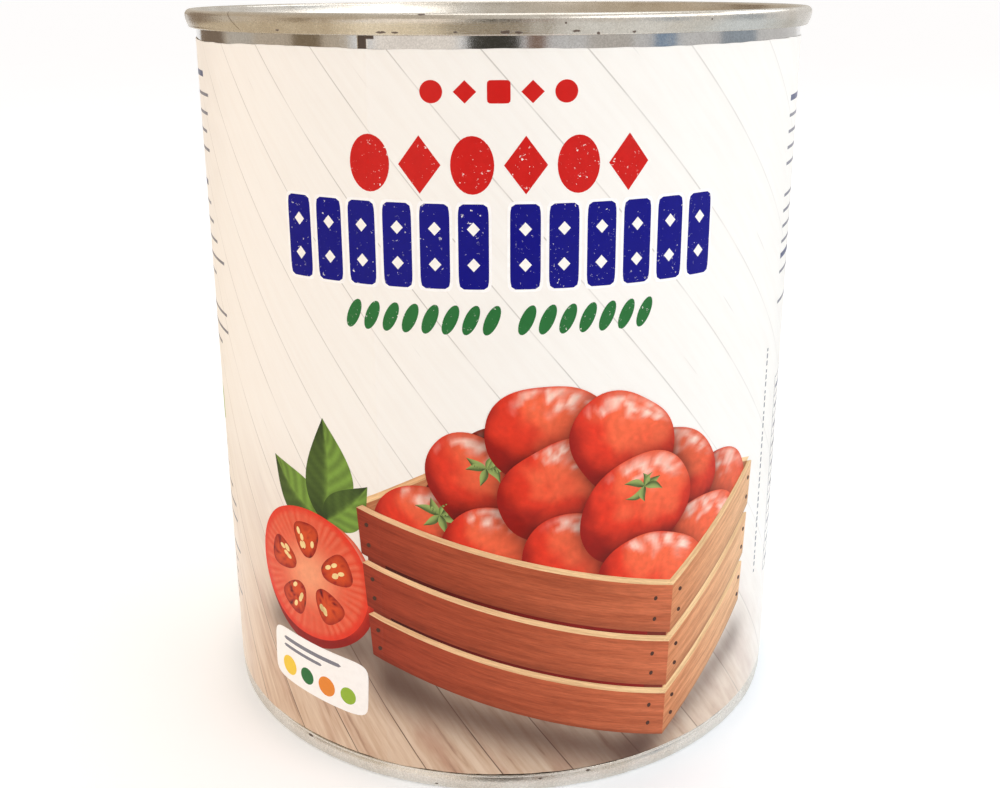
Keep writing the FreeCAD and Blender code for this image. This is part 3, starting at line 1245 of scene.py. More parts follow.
def flat_shape(u: float, v: float, outline: tuple[Array, Array], layer: float, tint: Tint) -> Patch:
    """An outline filled with one ink.

    Args:
        u: The way round of its middle.
        v: The height of its middle.
        outline: The outline about its middle.
        layer: How many shapes lie under it.
        tint: The ink.

    Returns:
        The patch.
    """
    patch = fan_patch(u + outline[0], v + outline[1], layer)
    patch.colour[:] = tint.value
    return patch


def flat_bar(low_u: float, low_v: float, width: float, height: float, layer: float, tint: Tint) -> Patch:
    """A plain upright rectangle of one ink.

    Args:
        low_u: Its left side.
        low_v: Its foot.
        width: Its width.
        height: Its height.
        layer: How many shapes lie under it.
        tint: The ink.

    Returns:
        The patch.
    """
    across = np.linspace(low_u, low_u + width, max(int(math.ceil(width / FILM_GRID)), 1) + 1)
    up = np.linspace(low_v, low_v + height, max(int(math.ceil(height / 4.0)), 1) + 1)
    u, v = np.meshgrid(across, up)
    return Patch(u, v, np.zeros(u.shape + (3,)) + np.asarray(tint.value), layer, False)


def corner_board(corners: Array, layer: float, sizes: tuple[float, float], seed: float) -> Patch:
    """A four-cornered board with its own grain coordinates, and no colour yet.

    Formula: a place at shares s along and t across is the corners mixed by (1 - s)(1 - t), s (1 - t), s t and
    (1 - s) t.

    Args:
        corners: Four (u, v) rows, anticlockwise from the start of the board's lower edge.
        layer: How many shapes lie under it.
        sizes: The board's real length and width, for its grain.
        seed: Where in the wood's pattern the board is cut from.

    Returns:
        The patch, black.
    """
    spans = [np.hypot(*(corners[1] - corners[0])), np.hypot(*(corners[3] - corners[0]))]
    along = np.linspace(0.0, 1.0, max(int(math.ceil(spans[0] / FILM_GRID)), 2) + 1)[None, :]
    across = np.linspace(0.0, 1.0, max(int(math.ceil(spans[1] / FILM_GRID)), 2) + 1)[:, None]
    weights = [(1 - along) * (1 - across), along * (1 - across), along * across, (1 - along) * across]
    u = sum(weight * corner[0] for weight, corner in zip(weights, corners))
    v = sum(weight * corner[1] for weight, corner in zip(weights, corners))
    grain = np.stack([along * sizes[0] + 0.0 * across, across * sizes[1] + 0.0 * along,
                      np.full(u.shape, seed)], axis=-1)
    grain[..., 1] += seed * BOARD_STRIDE
    return Patch(u, v, np.zeros(u.shape + (3,)), layer, False, grain)


def leaf_blade(root: tuple[float, float], tip: tuple[float, float], half_width: float, bow: float,
               layer: float, tints: tuple[Tint, Tint], veins: float = 0.0) -> Patch:
    """A leaf or a sepal: a blade that widens from its root, narrows to its tip and bows to one side.

    Formula: the midrib is the straight line from root to tip, pushed sideways by bow * sin(pi * t); the half
    width is the given one times sin(pi * t ** 0.75). One side of the midrib takes the darker tint, the
    midrib itself is pale, and veins are a wave that runs back from it.

    Args:
        root: Where the blade starts.
        tip: Where it ends.
        half_width: Half its greatest width.
        bow: How far the midrib is pushed to its left.
        layer: How many shapes lie under it.
        tints: The darker and the lighter tint.
        veins: How strongly the veins show, 0 to 1.

    Returns:
        The coloured patch.
    """
    run = np.array(tip) - np.array(root)
    length = float(np.hypot(*run))
    ahead = run / length
    left = np.array([-ahead[1], ahead[0]])
    t = np.linspace(0.0, 1.0, max(int(length / 0.6), 8) + 1)[:, None]
    side = np.linspace(-1.0, 1.0, max(2 * int(math.ceil(half_width / 0.5)), 4) + 1)[None, :]
    width = np.maximum(half_width * np.sin(math.pi * t ** 0.75), 0.04)
    push = bow * np.sin(math.pi * t) - side * width
    u = root[0] + ahead[0] * length * t + left[0] * push
    v = root[1] + ahead[1] * length * t + left[1] * push
    light = soft_step(side + 0.0 * t, -0.35, 0.25) * 0.7 + 0.3 * np.sin(math.pi * t)
    wave = 0.5 + 0.5 * np.cos(TAU * (t * length / 2.2 - np.abs(side) * half_width / 3.0))
    light = light * (1.0 - veins * 0.55 * wave) + 0.35 * veins * np.exp(-((side / 0.10) ** 2))
    return Patch(u, v, tone_between(tints[0].value, tints[1].value, light), layer, False)


@dataclass(frozen=True)
class PrintedFruit:
    """A printed tomato: an oval with the light and shade of a round, wet fruit. In millimetres."""

    u: float
    v: float
    long: float
    short: float
    turn: float
    layer: float
    seed: int
    dim: float = 1.0

    def local(self, u: Array, v: Array) -> tuple[Array, Array]:
        """The place as shares of the fruit's long and short halves.

        Args:
            u: The way round.
            v: The height.

        Returns:
            The shares along its long way and its short way.
        """
        cosine, sine = math.cos(math.radians(self.turn)), math.sin(math.radians(self.turn))
        away_u, away_v = u - self.u, v - self.v
        return (away_u * cosine + away_v * sine) / self.long, (away_v * cosine - away_u * sine) / self.short

    def outside(self, u: Array, v: Array) -> Array:
        """Roughly how far a place lies outside the fruit's outline, in millimetres."""
        x, y = self.local(u, v)
        return (np.hypot(x, y) - 1.0) * self.short

    def patch(self, nearer: list["PrintedFruit"]) -> Patch:
        """Draws the fruit.

        Formula: each place gets the direction that a round skin would face there, and its light is that
        direction's share towards the upper right, softened; the rim is deeper and warmer, a cream gloss lies
        along the upper side, broken up by fine waves, and places close to a nearer fruit are darker.

        Args:
            nearer: The fruits that lie in front of it.

        Returns:
            The coloured patch.
        """
        x, y = rounded_outline(self.long, self.short, 2.15)
        angle = np.arctan2(y, x)
        rng = np.random.default_rng(self.seed)
        waver = 1.0
        for number, size in ((2, 0.02), (3, 0.018), (5, 0.01)):
            waver = waver + size * np.cos(number * angle + rng.uniform(0.0, TAU))
        cosine, sine = math.cos(math.radians(self.turn)), math.sin(math.radians(self.turn))
        x, y = x * waver, y * waver
        patch = fan_patch(self.u + x * cosine - y * sine, self.v + x * sine + y * cosine, self.layer,
                          (self.u, self.v))
        x, y = self.local(patch.u, patch.v)
        out = np.clip(np.hypot(x, y), 0.0, 0.995)
        face_u, face_v = x * cosine - y * sine, x * sine + y * cosine
        face_out = np.sqrt(1.0 - out ** 2)
        dimple = 0.07 * ripple(patch.u, patch.v, self.seed, 5.5)
        light = face_u * 0.34 + face_v * 0.62 + face_out * 0.70 + dimple
        lit = soft_step(light, -0.35, 1.02)
        skin = tone_between(Tint.SKIN_DARK.value, Tint.SKIN.value, soft_step(lit, 0.0, 0.55))
        skin = tone_between(skin, Tint.SKIN_LIGHT.value, soft_step(lit, 0.60, 1.0))
        rim = out ** 7
        skin = tone_between(skin, Tint.SKIN_DARK.value, rim * (0.55 - 0.35 * soft_step(face_v, -0.2, 0.8)))
        grainy = ripple(patch.u, patch.v, self.seed + 1, 2.0)
        crest = face_v + 0.22 * face_u + 0.09 * ripple(patch.u, patch.v, self.seed + 3, 4.0) + 0.05 * grainy
        gloss = soft_step(crest, 0.52, 0.86) * (1.0 - soft_step(out, 0.90, 1.0))
        gloss = gloss * np.clip(0.60 + 0.30 * grainy, 0.12, 1.0)
        sheen = 0.22 * soft_step(light, 0.95, 1.25) * (1.0 + 0.4 * grainy)
        skin = tone_between(skin, Tint.GLOSS.value, np.clip(0.85 * gloss + sheen, 0.0, 0.92) * self.dim)
        speckle = 1.0 + 0.05 * ripple(patch.u * 1.3, patch.v, self.seed + 2, 1.6)
        dark = np.full(out.shape, self.dim) * speckle
        for fruit in nearer:
            dark = dark * (1.0 - 0.62 * np.exp(-np.clip(fruit.outside(patch.u, patch.v), 0.0, None) / 1.3))
        patch.colour = tone_between(Tint.DEEP.value, skin, np.clip(dark, 0.0, 1.1))
        return patch

    def calyx(self, reach: float, turn: float, seed: int) -> list[Patch]:
        """The green star at the top of the fruit: six bowed sepals and a short stalk.

        Args:
            reach: The length of a sepal.
            turn: The turn of the first sepal in degrees.
            seed: Seed of the small differences between sepals.

        Returns:
            The coloured patches.
        """
        rng = np.random.default_rng(seed)
        middle = np.array([self.u + 0.12 * self.short, self.v + 0.42 * self.short])
        blades = []
        for step in range(SEPALS):
            angle = math.radians(turn + 360.0 / SEPALS * step + rng.uniform(-12.0, 12.0))
            length = reach * rng.uniform(0.75, 1.15)
            tip = middle + length * np.array([math.cos(angle), 0.72 * math.sin(angle)])
            blades.append(leaf_blade(tuple(middle), tuple(tip), 0.17 * reach, rng.uniform(-0.2, 0.2) * reach,
                                     self.layer + 0.4 + 0.05 * step, (Tint.LEAF_DARK, Tint.LEAF_LIGHT)))
        stalk = middle + np.array([0.35, 0.55]) * reach
        blades.append(leaf_blade(tuple(middle), tuple(stalk), 0.09 * reach, 0.1 * reach, self.layer + 0.8,
                                 (Tint.LEAF, Tint.LEAF_LIGHT)))
        return blades


@dataclass
class InkPiece:
    """One joined piece of print: its shapes, in any order, each on its own layer."""

    name: str
    material: Material
    form: WrapForm
    patches: list[Patch] = field(default_factory=list)

    def build(self) -> Piece:
        """Lays every shape on the wrap and joins them."""
        surface = joined([patch.film(self.form) for patch in self.patches])
        return report(dressed(build_object(self.name, surface, 30.0), self.material), "wrap_paper")


class FriezeUnit(Enum):
    """The plain shapes that the printed bands are made of, as the squareness of their outline."""

    LOZENGE = 1.0
    OVAL = 2.0
    BLOCK = 9.0


@dataclass(frozen=True)
class Frieze:
    """A printed band of plain shapes in a row, with no lettering. In millimetres."""

    tint: Tint
    low_u: float
    high_u: float
    low_v: float
    high_v: float
    units: tuple[FriezeUnit, ...]
    gap: float
    breaks: tuple[int, ...] = ()
    break_width: float = 0.0
    lean: float = 0.0
    pierced: bool = False
    halo: float = 0.0

    def patches(self) -> list[Patch]:
        """The band's shapes, spread evenly between its ends, with a wider gap at each break.

        Returns:
            The coloured patches.
        """
        count = len(self.units)
        free = self.high_u - self.low_u - self.gap * (count - 1) - self.break_width * len(self.breaks)
        half_u, half_v = free / count / 2.0, (self.high_v - self.low_v) / 2.0
        middle_v = self.low_v + half_v
        shapes = []
        for number, unit in enumerate(self.units):
            passed = sum(1 for place in self.breaks if number >= place)
            u = self.low_u + half_u + number * (2.0 * half_u + self.gap) + passed * self.break_width
            outline = rounded_outline(half_u, half_v, unit.value, self.lean)
            if self.halo > 0.0:
                wide = rounded_outline(half_u + self.halo, half_v + self.halo, unit.value, self.lean)
                shapes.append(flat_shape(u, middle_v, wide, 0.0, Tint.WHITE))
            shapes.append(flat_shape(u, middle_v, outline, 1.0, self.tint))
            if self.pierced and unit is FriezeUnit.BLOCK:
                for side in (-1.0, 1.0):
                    hole = rounded_outline(0.42 * half_u, 0.16 * half_v, FriezeUnit.LOZENGE.value)
                    shapes.append(flat_shape(u, middle_v + side * 0.42 * half_v, hole, 2.0, Tint.PAPER))
        return shapes


@dataclass(frozen=True)
class CrateView:
    """How the printed crate is seen: turned, looked down on, and a little larger where it is nearer."""

    u: float = 12.4
    v: float = 23.2
    turn: float = -33.0
    tilt: float = 30.0
    distance: float = 240.0

    def project(self, points: Array) -> tuple[Array, Array, Array, Array]:
        """Places of solid points in the picture.

        Formula: the points are turned about the upright, then looked down on by the tilt; what lies further
        off is drawn smaller by distance / (distance + depth).

        Args:
            points: x to the right, y away and z up from the middle of the crate's floor, in the last axis.

        Returns:
            The way round, the height, the depth and the scale of each point.
        """
        turn, tilt = math.radians(self.turn), math.radians(self.tilt)
        x, y, z = points[..., 0], points[..., 1], points[..., 2]
        right = x * math.cos(turn) - y * math.sin(turn)
        away = x * math.sin(turn) + y * math.cos(turn)
        depth = away * math.cos(tilt) - z * math.sin(tilt)
        scale = self.distance / (self.distance + depth)
        rise = z * math.cos(tilt) + away * math.sin(tilt)
        return self.u + right * scale, self.v + rise * scale, depth, scale


@dataclass
class CratePicture:
    """The print's main picture: a plain slatted crate heaped with tomatoes."""

    view: CrateView
    half_long: float = 26.4
    half_deep: float = 17.6
    slat_height: float = 7.8
    slat_gap: float = 1.6
    slats: int = 3
    board: float = 1.5
    post: float = 3.6
    inside_low: float = 4.0
    fill_depth: float = 5.0
    heap_levels: tuple[tuple[int, int], ...] = ((4, 3), (3, 2), (2, 1))
    heap_pitch: Triple = (13.3, 11.3, 7.4)
    heap_sink: float = 3.2
    heap_seed: int = 41

    @property
    def height(self) -> float:
        """The height of the top slat's upper edge."""
        return self.slats * self.slat_height + (self.slats - 1) * self.slat_gap

    def face(self, corners: list[Triple], layer: float, sizes: tuple[float, float], seed: float,
             tones: tuple[Tint, Tint], dusk: float = 0.0) -> Patch:
        """One visible face of a board.

        Formula: the colour runs from the first tone at the board's start to the second at its end, is darker
        in a narrow band along its lower edge, and all of it is darkened by the dusk.

        Args:
            corners: Four solid corners, from the start of the lower edge, anticlockwise as seen.
            layer: How many shapes lie under it.
            sizes: The face's real length and width.
            seed: Which part of the wood's pattern it shows.
            tones: The colours at its start and its end.
            dusk: How much darker the whole face is, 0 to 1.

        Returns:
            The coloured patch.
        """
        u, v, _, _ = self.view.project(np.array(corners))
        patch = corner_board(np.stack([u, v], axis=1), layer, sizes, seed)
        along = patch.grain[..., 0] / sizes[0]
        across = (patch.grain[..., 1] - seed * BOARD_STRIDE) / sizes[1]
        colour = tone_between(tones[0].value, tones[1].value, along)
        edge = np.exp(-across * sizes[1] / 0.9) * 0.35 + dusk
        patch.colour = tone_between(colour, Tint.DEEP.value, np.clip(edge, 0.0, 1.0))
        return patch

    def slat_front(self, start: float, end: float, y: float, low: float, high: float, layer: float,
                   seed: float, tones: tuple[Tint, Tint], dusk: float = 0.0) -> Patch:
        """The face of a board that looks along -y, from x = start to x = end."""
        corners = [(start, y, low), (end, y, low), (end, y, high), (start, y, high)]
        return self.face(corners, layer, (end - start, high - low), seed, tones, dusk)

    def slat_side(self, start: float, end: float, x: float, low: float, high: float, layer: float,
                  seed: float, tones: tuple[Tint, Tint], dusk: float = 0.0) -> Patch:
        """The face of a board that looks along x, from y = start to y = end."""
        corners = [(x, start, low), (x, end, low), (x, end, high), (x, start, high)]
        return self.face(corners, layer, (abs(end - start), high - low), seed, tones, dusk)

    def top_edge(self, low: tuple[float, float], high: tuple[float, float], z: float, layer: float,
                 seed: float, tones: tuple[Tint, Tint]) -> Patch:
        """The upper edge of a board, with its grain along the longer way.

        Args:
            low: Where it starts in x and y.
            high: Where it ends in x and y.
            z: Its height.
            layer: How many shapes lie under it.
            seed: Which part of the wood's pattern it shows.
            tones: The colours at its start and its end.

        Returns:
            The coloured patch.
        """
        corners = [(low[0], low[1], z), (high[0], low[1], z), (high[0], high[1], z), (low[0], high[1], z)]
        across, back = high[0] - low[0], high[1] - low[1]
        if back > across:
            corners = [corners[1], corners[2], corners[3], corners[0]]
        return self.face(corners, layer, (max(across, back), min(across, back)), seed, tones, -0.3)

    def back_boards(self) -> list[Patch]:
        """The inner faces and top edges of the far boards, and the dark inside.

        Returns:
            The coloured patches.
        """
        long, deep, top, low = self.half_long, self.half_deep, self.height, self.inside_low
        fill = top - self.fill_depth
        floor = [(-long, -deep, fill), (long, -deep, fill), (long, deep, fill), (-long, deep, fill)]
        return [
            self.slat_front(-long, long, deep, low, top, 0.0, 3.0, (Tint.WOOD_DARK, Tint.WOOD), 0.35),
            self.slat_side(deep, -deep, -long, low, top, 0.2, 4.0, (Tint.WOOD, Tint.WOOD), 0.25),
            self.top_edge((-long, deep), (long, deep + self.board), top, 0.4, 5.0,
                          (Tint.WOOD, Tint.WOOD_EDGE)),
            self.top_edge((-long - self.board, -deep), (-long, deep), top, 0.5, 6.0,
                          (Tint.WOOD_EDGE, Tint.WOOD)),
            self.face(floor, 0.6, (2.0 * long, 2.0 * deep), 7.0, (Tint.DEEP, Tint.DEEP)),
        ]

    def front_boards(self, layer: float) -> list[Patch]:
        """The near slats with their top edges, the posts behind them, and the dark gaps between them.

        Args:
            layer: The layer of the first of them.

        Returns:
            The coloured patches.
        """
        long, deep, top, board = self.half_long, self.half_deep, self.height, self.board
        front, side = -deep - board, long + board
        shapes = [
            self.slat_front(-long, long, -deep, 0.0, top - 2.0, layer, 8.0, (Tint.DEEP, Tint.SKIN_DARK)),
            self.slat_side(-deep, deep, long, 0.0, top - 2.0, layer, 9.0, (Tint.SKIN_DARK, Tint.SKIN_DARK)),
        ]
        for x in (-long, long - self.post):
            shapes.append(self.slat_front(x, x + self.post, -deep - 0.01, 0.0, top, layer + 0.3, 10.0 + x,
                                          (Tint.WOOD_DARK, Tint.WOOD_DARK), 0.4))
        for start, end, seed in ((-deep, -deep + self.post, 12.0), (deep - self.post, deep, 13.0)):
            shapes.append(self.slat_side(start, end, long + 0.01, 0.0, top, layer + 0.3, seed,
                                         (Tint.WOOD, Tint.WOOD_DARK), 0.3))
        for number in range(self.slats):
            low = number * (self.slat_height + self.slat_gap)
            high = low + self.slat_height
            over = layer + 1.6 + 1.6 * number
            shapes += [
                self.slat_side(front, deep, side, low, high, over, 20.0 + number,
                               (Tint.WOOD, Tint.WOOD_LIGHT)),
                self.slat_front(-long, side, front, low, high, over + 0.3, 30.3 + number,
                                (Tint.WOOD_DARK, Tint.WOOD_MIDDLE)),
                self.top_edge((long, front), (side, deep), high, over + 0.6, 40.0 + number,
                              (Tint.WOOD_EDGE, Tint.WOOD_EDGE)),
                self.top_edge((-long, front), (side, -deep), high, over + 0.9, 50.0 + number,
                              (Tint.WOOD_LIGHT, Tint.WOOD_EDGE)),
            ]
        return shapes

    def nails(self, layer: float) -> list[Patch]:
        """Two nails at each end of every near slat.

        Args:
            layer: The layer of the nails.

        Returns:
            The coloured patches.
        """
        long, deep, board = self.half_long, self.half_deep, self.board
        head = rounded_outline(0.34, 0.36, FriezeUnit.OVAL.value)
        shapes = []
        for number in range(self.slats):
            low = number * (self.slat_height + self.slat_gap)
            for share in (0.28, 0.72):
                z = low + share * self.slat_height
                places = [(-long + 1.8, -deep - board, z), (long - 1.6, -deep - board, z),
                          (long + board, -deep + 1.2, z), (long + board, deep - 1.6, z)]
                u, v, _, _ = self.view.project(np.array(places))
                shapes += [flat_shape(*spot, head, layer, Tint.SHADOW) for spot in zip(u, v)]
        return shapes

    def heap(self, layer: float) -> list[PrintedFruit]:
        """The tomatoes, from the furthest to the nearest.

        Formula: they lie in shrinking rows and columns, level over level, each pushed off its place by a
        seeded amount, and are drawn at the place and scale that the view gives.

        Args:
            layer: The layer of the first of them.

        Returns:
            The fruits in the order in which they cover one another.
        """
        rng = np.random.default_rng(self.heap_seed)
        pitch_x, pitch_y, pitch_z = self.heap_pitch
        places = []
        for level, (across, back) in enumerate(self.heap_levels):
            for i in range(across):
                for j in range(back):
                    x = (i - (across - 1) / 2.0) * pitch_x + rng.uniform(-1.6, 1.6)
                    y = (j - (back - 1) / 2.0) * pitch_y + rng.uniform(-1.4, 1.4)
                    z = self.height - self.heap_sink + pitch_z * level + rng.uniform(-1.0, 1.2)
                    long, short = rng.uniform(7.2, 9.4), rng.uniform(6.3, 7.1)
                    places.append((x, y, z, long, short, rng.uniform(-60.0, 60.0)))
        solid = np.array(places)
        u, v, depth, scale = self.view.project(solid[:, :3])
        order = np.argsort(-depth)
        return [PrintedFruit(u[k], v[k], solid[k, 3] * scale[k], solid[k, 4] * scale[k], solid[k, 5],
                             layer + rank, 100 + 7 * int(k), 0.9 + 0.1 * min(rank / 10.0, 1.0))
                for rank, k in enumerate(order)]


@dataclass(frozen=True)
class HalvedTomato:
    """A tomato cut across, with its cut face to the viewer: skin, flesh, seed chambers and seeds."""

    u: float = -32.4
    v: float = 33.0
    half: float = 12.0
    chambers: int = 5
    seeds: int = 5
    layer: float = 2.0
    chamber_place: float = 0.50
    chamber_long: float = 0.25
    chamber_short: float = 0.205
    chamber_flare: float = 0.35
    chamber_span: float = 0.235
    squash: float = 0.96

    def patches(self) -> list[Patch]:
        """Draws the cut face from the skin inwards.

        Formula: the flesh is paler towards its middle and lined with fine rays; each chamber is a rounded
        wedge about the middle, darker at its edge, and holds a few pale seeds that point to the middle.

        Returns:
            The coloured patches.
        """
        rng = np.random.default_rng(77)
        behind = PrintedFruit(self.u + 0.5, self.v - 0.7, self.half * 1.02, self.half * 0.97, 10.0,
                              self.layer, 78, 0.85)
        x, y = rounded_outline(self.half * 0.97, self.half * 0.93, 2.1)
        flesh = fan_patch(self.u + x, self.v + y, self.layer + 1.0, (self.u, self.v))
        away_u, away_v = flesh.u - self.u, flesh.v - self.v
        out = np.hypot(away_u / (0.97 * self.half), away_v / (0.93 * self.half))
        angle = np.arctan2(away_v, away_u)
        rays = 0.5 + 0.5 * np.cos(angle * 46.0 + 2.0 * np.sin(angle * 5.0))
        colour = tone_between(Tint.FLESH_PALE.value, Tint.FLESH.value, soft_step(out, 0.05, 0.8))
        colour = tone_between(colour, Tint.FLESH_PALE.value, 0.30 * rays * soft_step(out, 0.5, 0.75))
        flesh.colour = tone_between(colour, Tint.SKIN.value, soft_step(out, 0.90, 0.97))
        shapes = [behind.patch([]), flesh]
        for number in range(self.chambers):
            turn = TAU * number / self.chambers + 0.35
            middle = self.chamber_place * self.half
            a, b = rounded_outline(self.chamber_long * self.half, self.chamber_short * self.half, 2.6)
            b = b * (1.0 + self.chamber_flare * a / (self.chamber_span * self.half))
            cosine, sine = math.cos(turn), math.sin(turn)
            centre = (self.u + middle * cosine, self.v + self.squash * middle * sine)
            patch = fan_patch(centre[0] + a * cosine - b * sine, centre[1] + a * sine + b * cosine,
                              self.layer + 2.0, centre)
            rings = np.linspace(0.0, 1.0, patch.u.shape[0])[:, None] + 0.0 * patch.u
            wet = ripple(patch.u, patch.v, 60 + number, 1.7)
            dusk = 0.75 * rings ** 3 + 0.18 * wet ** 2
            patch.colour = tone_between(Tint.GEL.value, Tint.SKIN_DARK.value, dusk)
            shapes.append(patch)
            for _ in range(self.seeds):
                aim = turn + rng.uniform(-0.30, 0.30)
                reach = self.half * rng.uniform(0.38, 0.63)
                spot = (self.u + reach * math.cos(aim), self.v + self.squash * reach * math.sin(aim))
                outline = rounded_outline(0.62, 0.36, FriezeUnit.OVAL.value, math.degrees(aim))
                shapes.append(flat_shape(*spot, outline, self.layer + 3.0, Tint.SEED))
        return shapes


@dataclass(frozen=True)
class LeafSprig:
    """Three broad leaves on a short stem, standing behind the cut tomato."""

    u: float = -28.5
    v: float = 43.0
    layer: float = 0.0

    def patches(self) -> list[Patch]:
        """The stem and the leaves, each with its veins.

        Returns:
            The coloured patches.
        """
        leaves = (((-10.5, 8.6), 3.9, 1.1), ((0.6, 17.0), 4.6, -1.0), ((8.2, 7.4), 3.4, -0.8))
        shapes = [leaf_blade((self.u, self.v - 3.0), (self.u + 0.8, self.v + 5.0), 0.4, 0.3, self.layer,
                             (Tint.LEAF, Tint.LEAF_LIGHT))]
        for number, (reach, half_width, bow) in enumerate(leaves):
            tip = (self.u + reach[0], self.v + reach[1])
            shapes.append(leaf_blade((self.u, self.v), tip, half_width, bow, self.layer + 0.5 + 0.4 * number,
                                     (Tint.LEAF_DARK, Tint.LEAF_BRIGHT), 0.8))
        return shapes


@dataclass(frozen=True)
class PlainTag:
    """A small white tag with rounded corners, two grey rules and a few plain coloured dots."""

    u: float = -32.0
    v: float = 15.6
    half_u: float = 10.4
    half_v: float = 4.9
    turn: float = -3.0
    layer: float = 6.0
    squareness: float = 7.0

    def patches(self) -> list[Patch]:
        """The tag's field, its two rules and its four dots.

        Returns:
            The coloured patches.
        """
        cosine, sine = math.cos(math.radians(self.turn)), math.sin(math.radians(self.turn))

        def at(x: float, y: float) -> tuple[float, float]:
            """The place of a point of the tag before it was turned."""
            return self.u + x * cosine - y * sine, self.v + x * sine + y * cosine

        field_shape = rounded_outline(self.half_u, self.half_v, self.squareness, self.turn)
        shapes = [flat_shape(self.u, self.v, field_shape, self.layer, Tint.WHITE)]
        for x, y, half_u, half_v in ((-1.4, 3.0, 6.6, 0.36), (-3.4, 1.6, 4.6, 0.30)):
            rule = rounded_outline(half_u, half_v, self.squareness, self.turn)
            shapes.append(flat_shape(*at(x, y), rule, self.layer + 1.0, Tint.GREY))
        for number, tint in enumerate((Tint.YELLOW, Tint.GREEN, Tint.ORANGE, Tint.LIME)):
            size = 1.75 - 0.25 * (number % 2)
            dot = rounded_outline(size, size, FriezeUnit.OVAL.value)
            shapes.append(flat_shape(*at(-6.6 + 4.4 * number, -1.9), dot, self.layer + 1.0, tint))
        return shapes


@dataclass(frozen=True)
class SmallPrint:
    """The small print round the sides and the back, as plain rules and fields with no lettering."""

    seed: int = 9
    line: float = 0.18
    rule: float = 0.6

    def column(self, low_u: float, width: float, low_v: float, high_v: float, pitch: float,
               bold: int) -> list[Patch]:
        """A column of rules of uneven length, one in every few of them bolder.

        Args:
            low_u: The column's left side.
            width: Its width.
            low_v: The height of its lowest rule.
            high_v: Where it ends.
            pitch: From one rule to the next.
            bold: How many rules lie from one bold rule to the next.

        Returns:
            The coloured patches.
        """
        rng = np.random.default_rng(self.seed + int(abs(low_u) * 10.0))
        shapes = []
        for number, v in enumerate(np.arange(high_v, low_v, -pitch)):
            strong = number % bold == 0
            length = width * (rng.uniform(0.45, 0.8) if strong else rng.uniform(0.7, 1.0))
            if number % 7 == 5:
                continue
            thick, tint = (0.9, Tint.NAVY) if strong else (0.5, Tint.GREY)
            shapes.append(flat_bar(low_u, v, length, thick, 0.0, tint))
        return shapes

    def ruled_table(self, low_u: float, low_v: float, width: float, rows: int, pitch: float) -> list[Patch]:
        """A plain ruled table: its frame, its lines, and a long and a short rule in every row.

        Args:
            low_u: Its left side.
            low_v: Its foot.
            width: Its width.
            rows: How many rows it has.
            pitch: The height of a row.

        Returns:
            The coloured patches.
        """
        line, rule, grey = self.line, self.rule, Tint.GREY
        shapes = [flat_bar(low_u, low_v + pitch * row, width, line, 0.0, grey) for row in range(rows + 1)]
        for share in (0.0, 0.66, 1.0):
            left = low_u + share * (width - line)
            shapes.append(flat_bar(left, low_v, line, rows * pitch + line, 0.6, grey))
        for row in range(rows):
            v = low_v + pitch * (row + 0.38)
            length = width * (0.3 + 0.05 * (row * 5 % 4))
            tint = Tint.NAVY if row == rows - 1 else grey
            shapes.append(flat_bar(low_u + 1.2, v, length, rule, 0.0, tint))
            shapes.append(flat_bar(low_u + width * 0.72, v, width * 0.18, rule, 0.0, grey))
        return shapes

    def patches(self) -> list[Patch]:
        """All the small print.

        Returns:
            The coloured patches.
        """
        shapes = self.column(-76.0, 23.0, 64.0, 108.0, 2.9, 6)
        shapes += self.column(-77.0, 20.0, 14.0, 44.0, 2.9, 5)
        shapes += self.column(56.5, 24.0, 71.0, 104.0, 2.5, 5)
        shapes += self.ruled_table(59.0, 22.0, 34.0, 10, 3.6)
        shapes += self.column(108.0, 38.0, 64.0, 106.0, 2.7, 4)
        shapes += self.column(-148.0, 42.0, 58.0, 104.0, 2.7, 6)
        shapes += self.ruled_table(-146.0, 18.0, 40.0, 8, 3.8)
        shapes += [flat_shape(-70.0, 52.5, rounded_outline(7.0, 3.4, 5.0), 0.0, Tint.LIME),
                   flat_shape(127.0, 38.0, rounded_outline(13.0, 13.0, 2.0), 0.0, Tint.LIME),
                   flat_shape(127.0, 38.0, rounded_outline(11.6, 11.6, 2.0), 1.0, Tint.PAPER)]
        for step in range(34):
            shapes.append(flat_bar(52.0, 25.0 + 1.2 * step, 0.5, 0.8 - 0.3 * (step % 3 == 0), 0.0, Tint.GREY))
        return shapes


# --- the studio ---


class CardForm(Enum):
    """How a card stands about the can, as the distance and the height in metres of its two long edges."""

    UPRIGHT = ((0.6, -0.2), (0.6, 0.32))
    BACKDROP = ((0.66, -0.2), (0.66, 0.34))
    MAT = ((0.1, 0.0006), (0.65, 0.0006))
    OVERHEAD = ((0.62, 0.40), (0.54, 0.56))


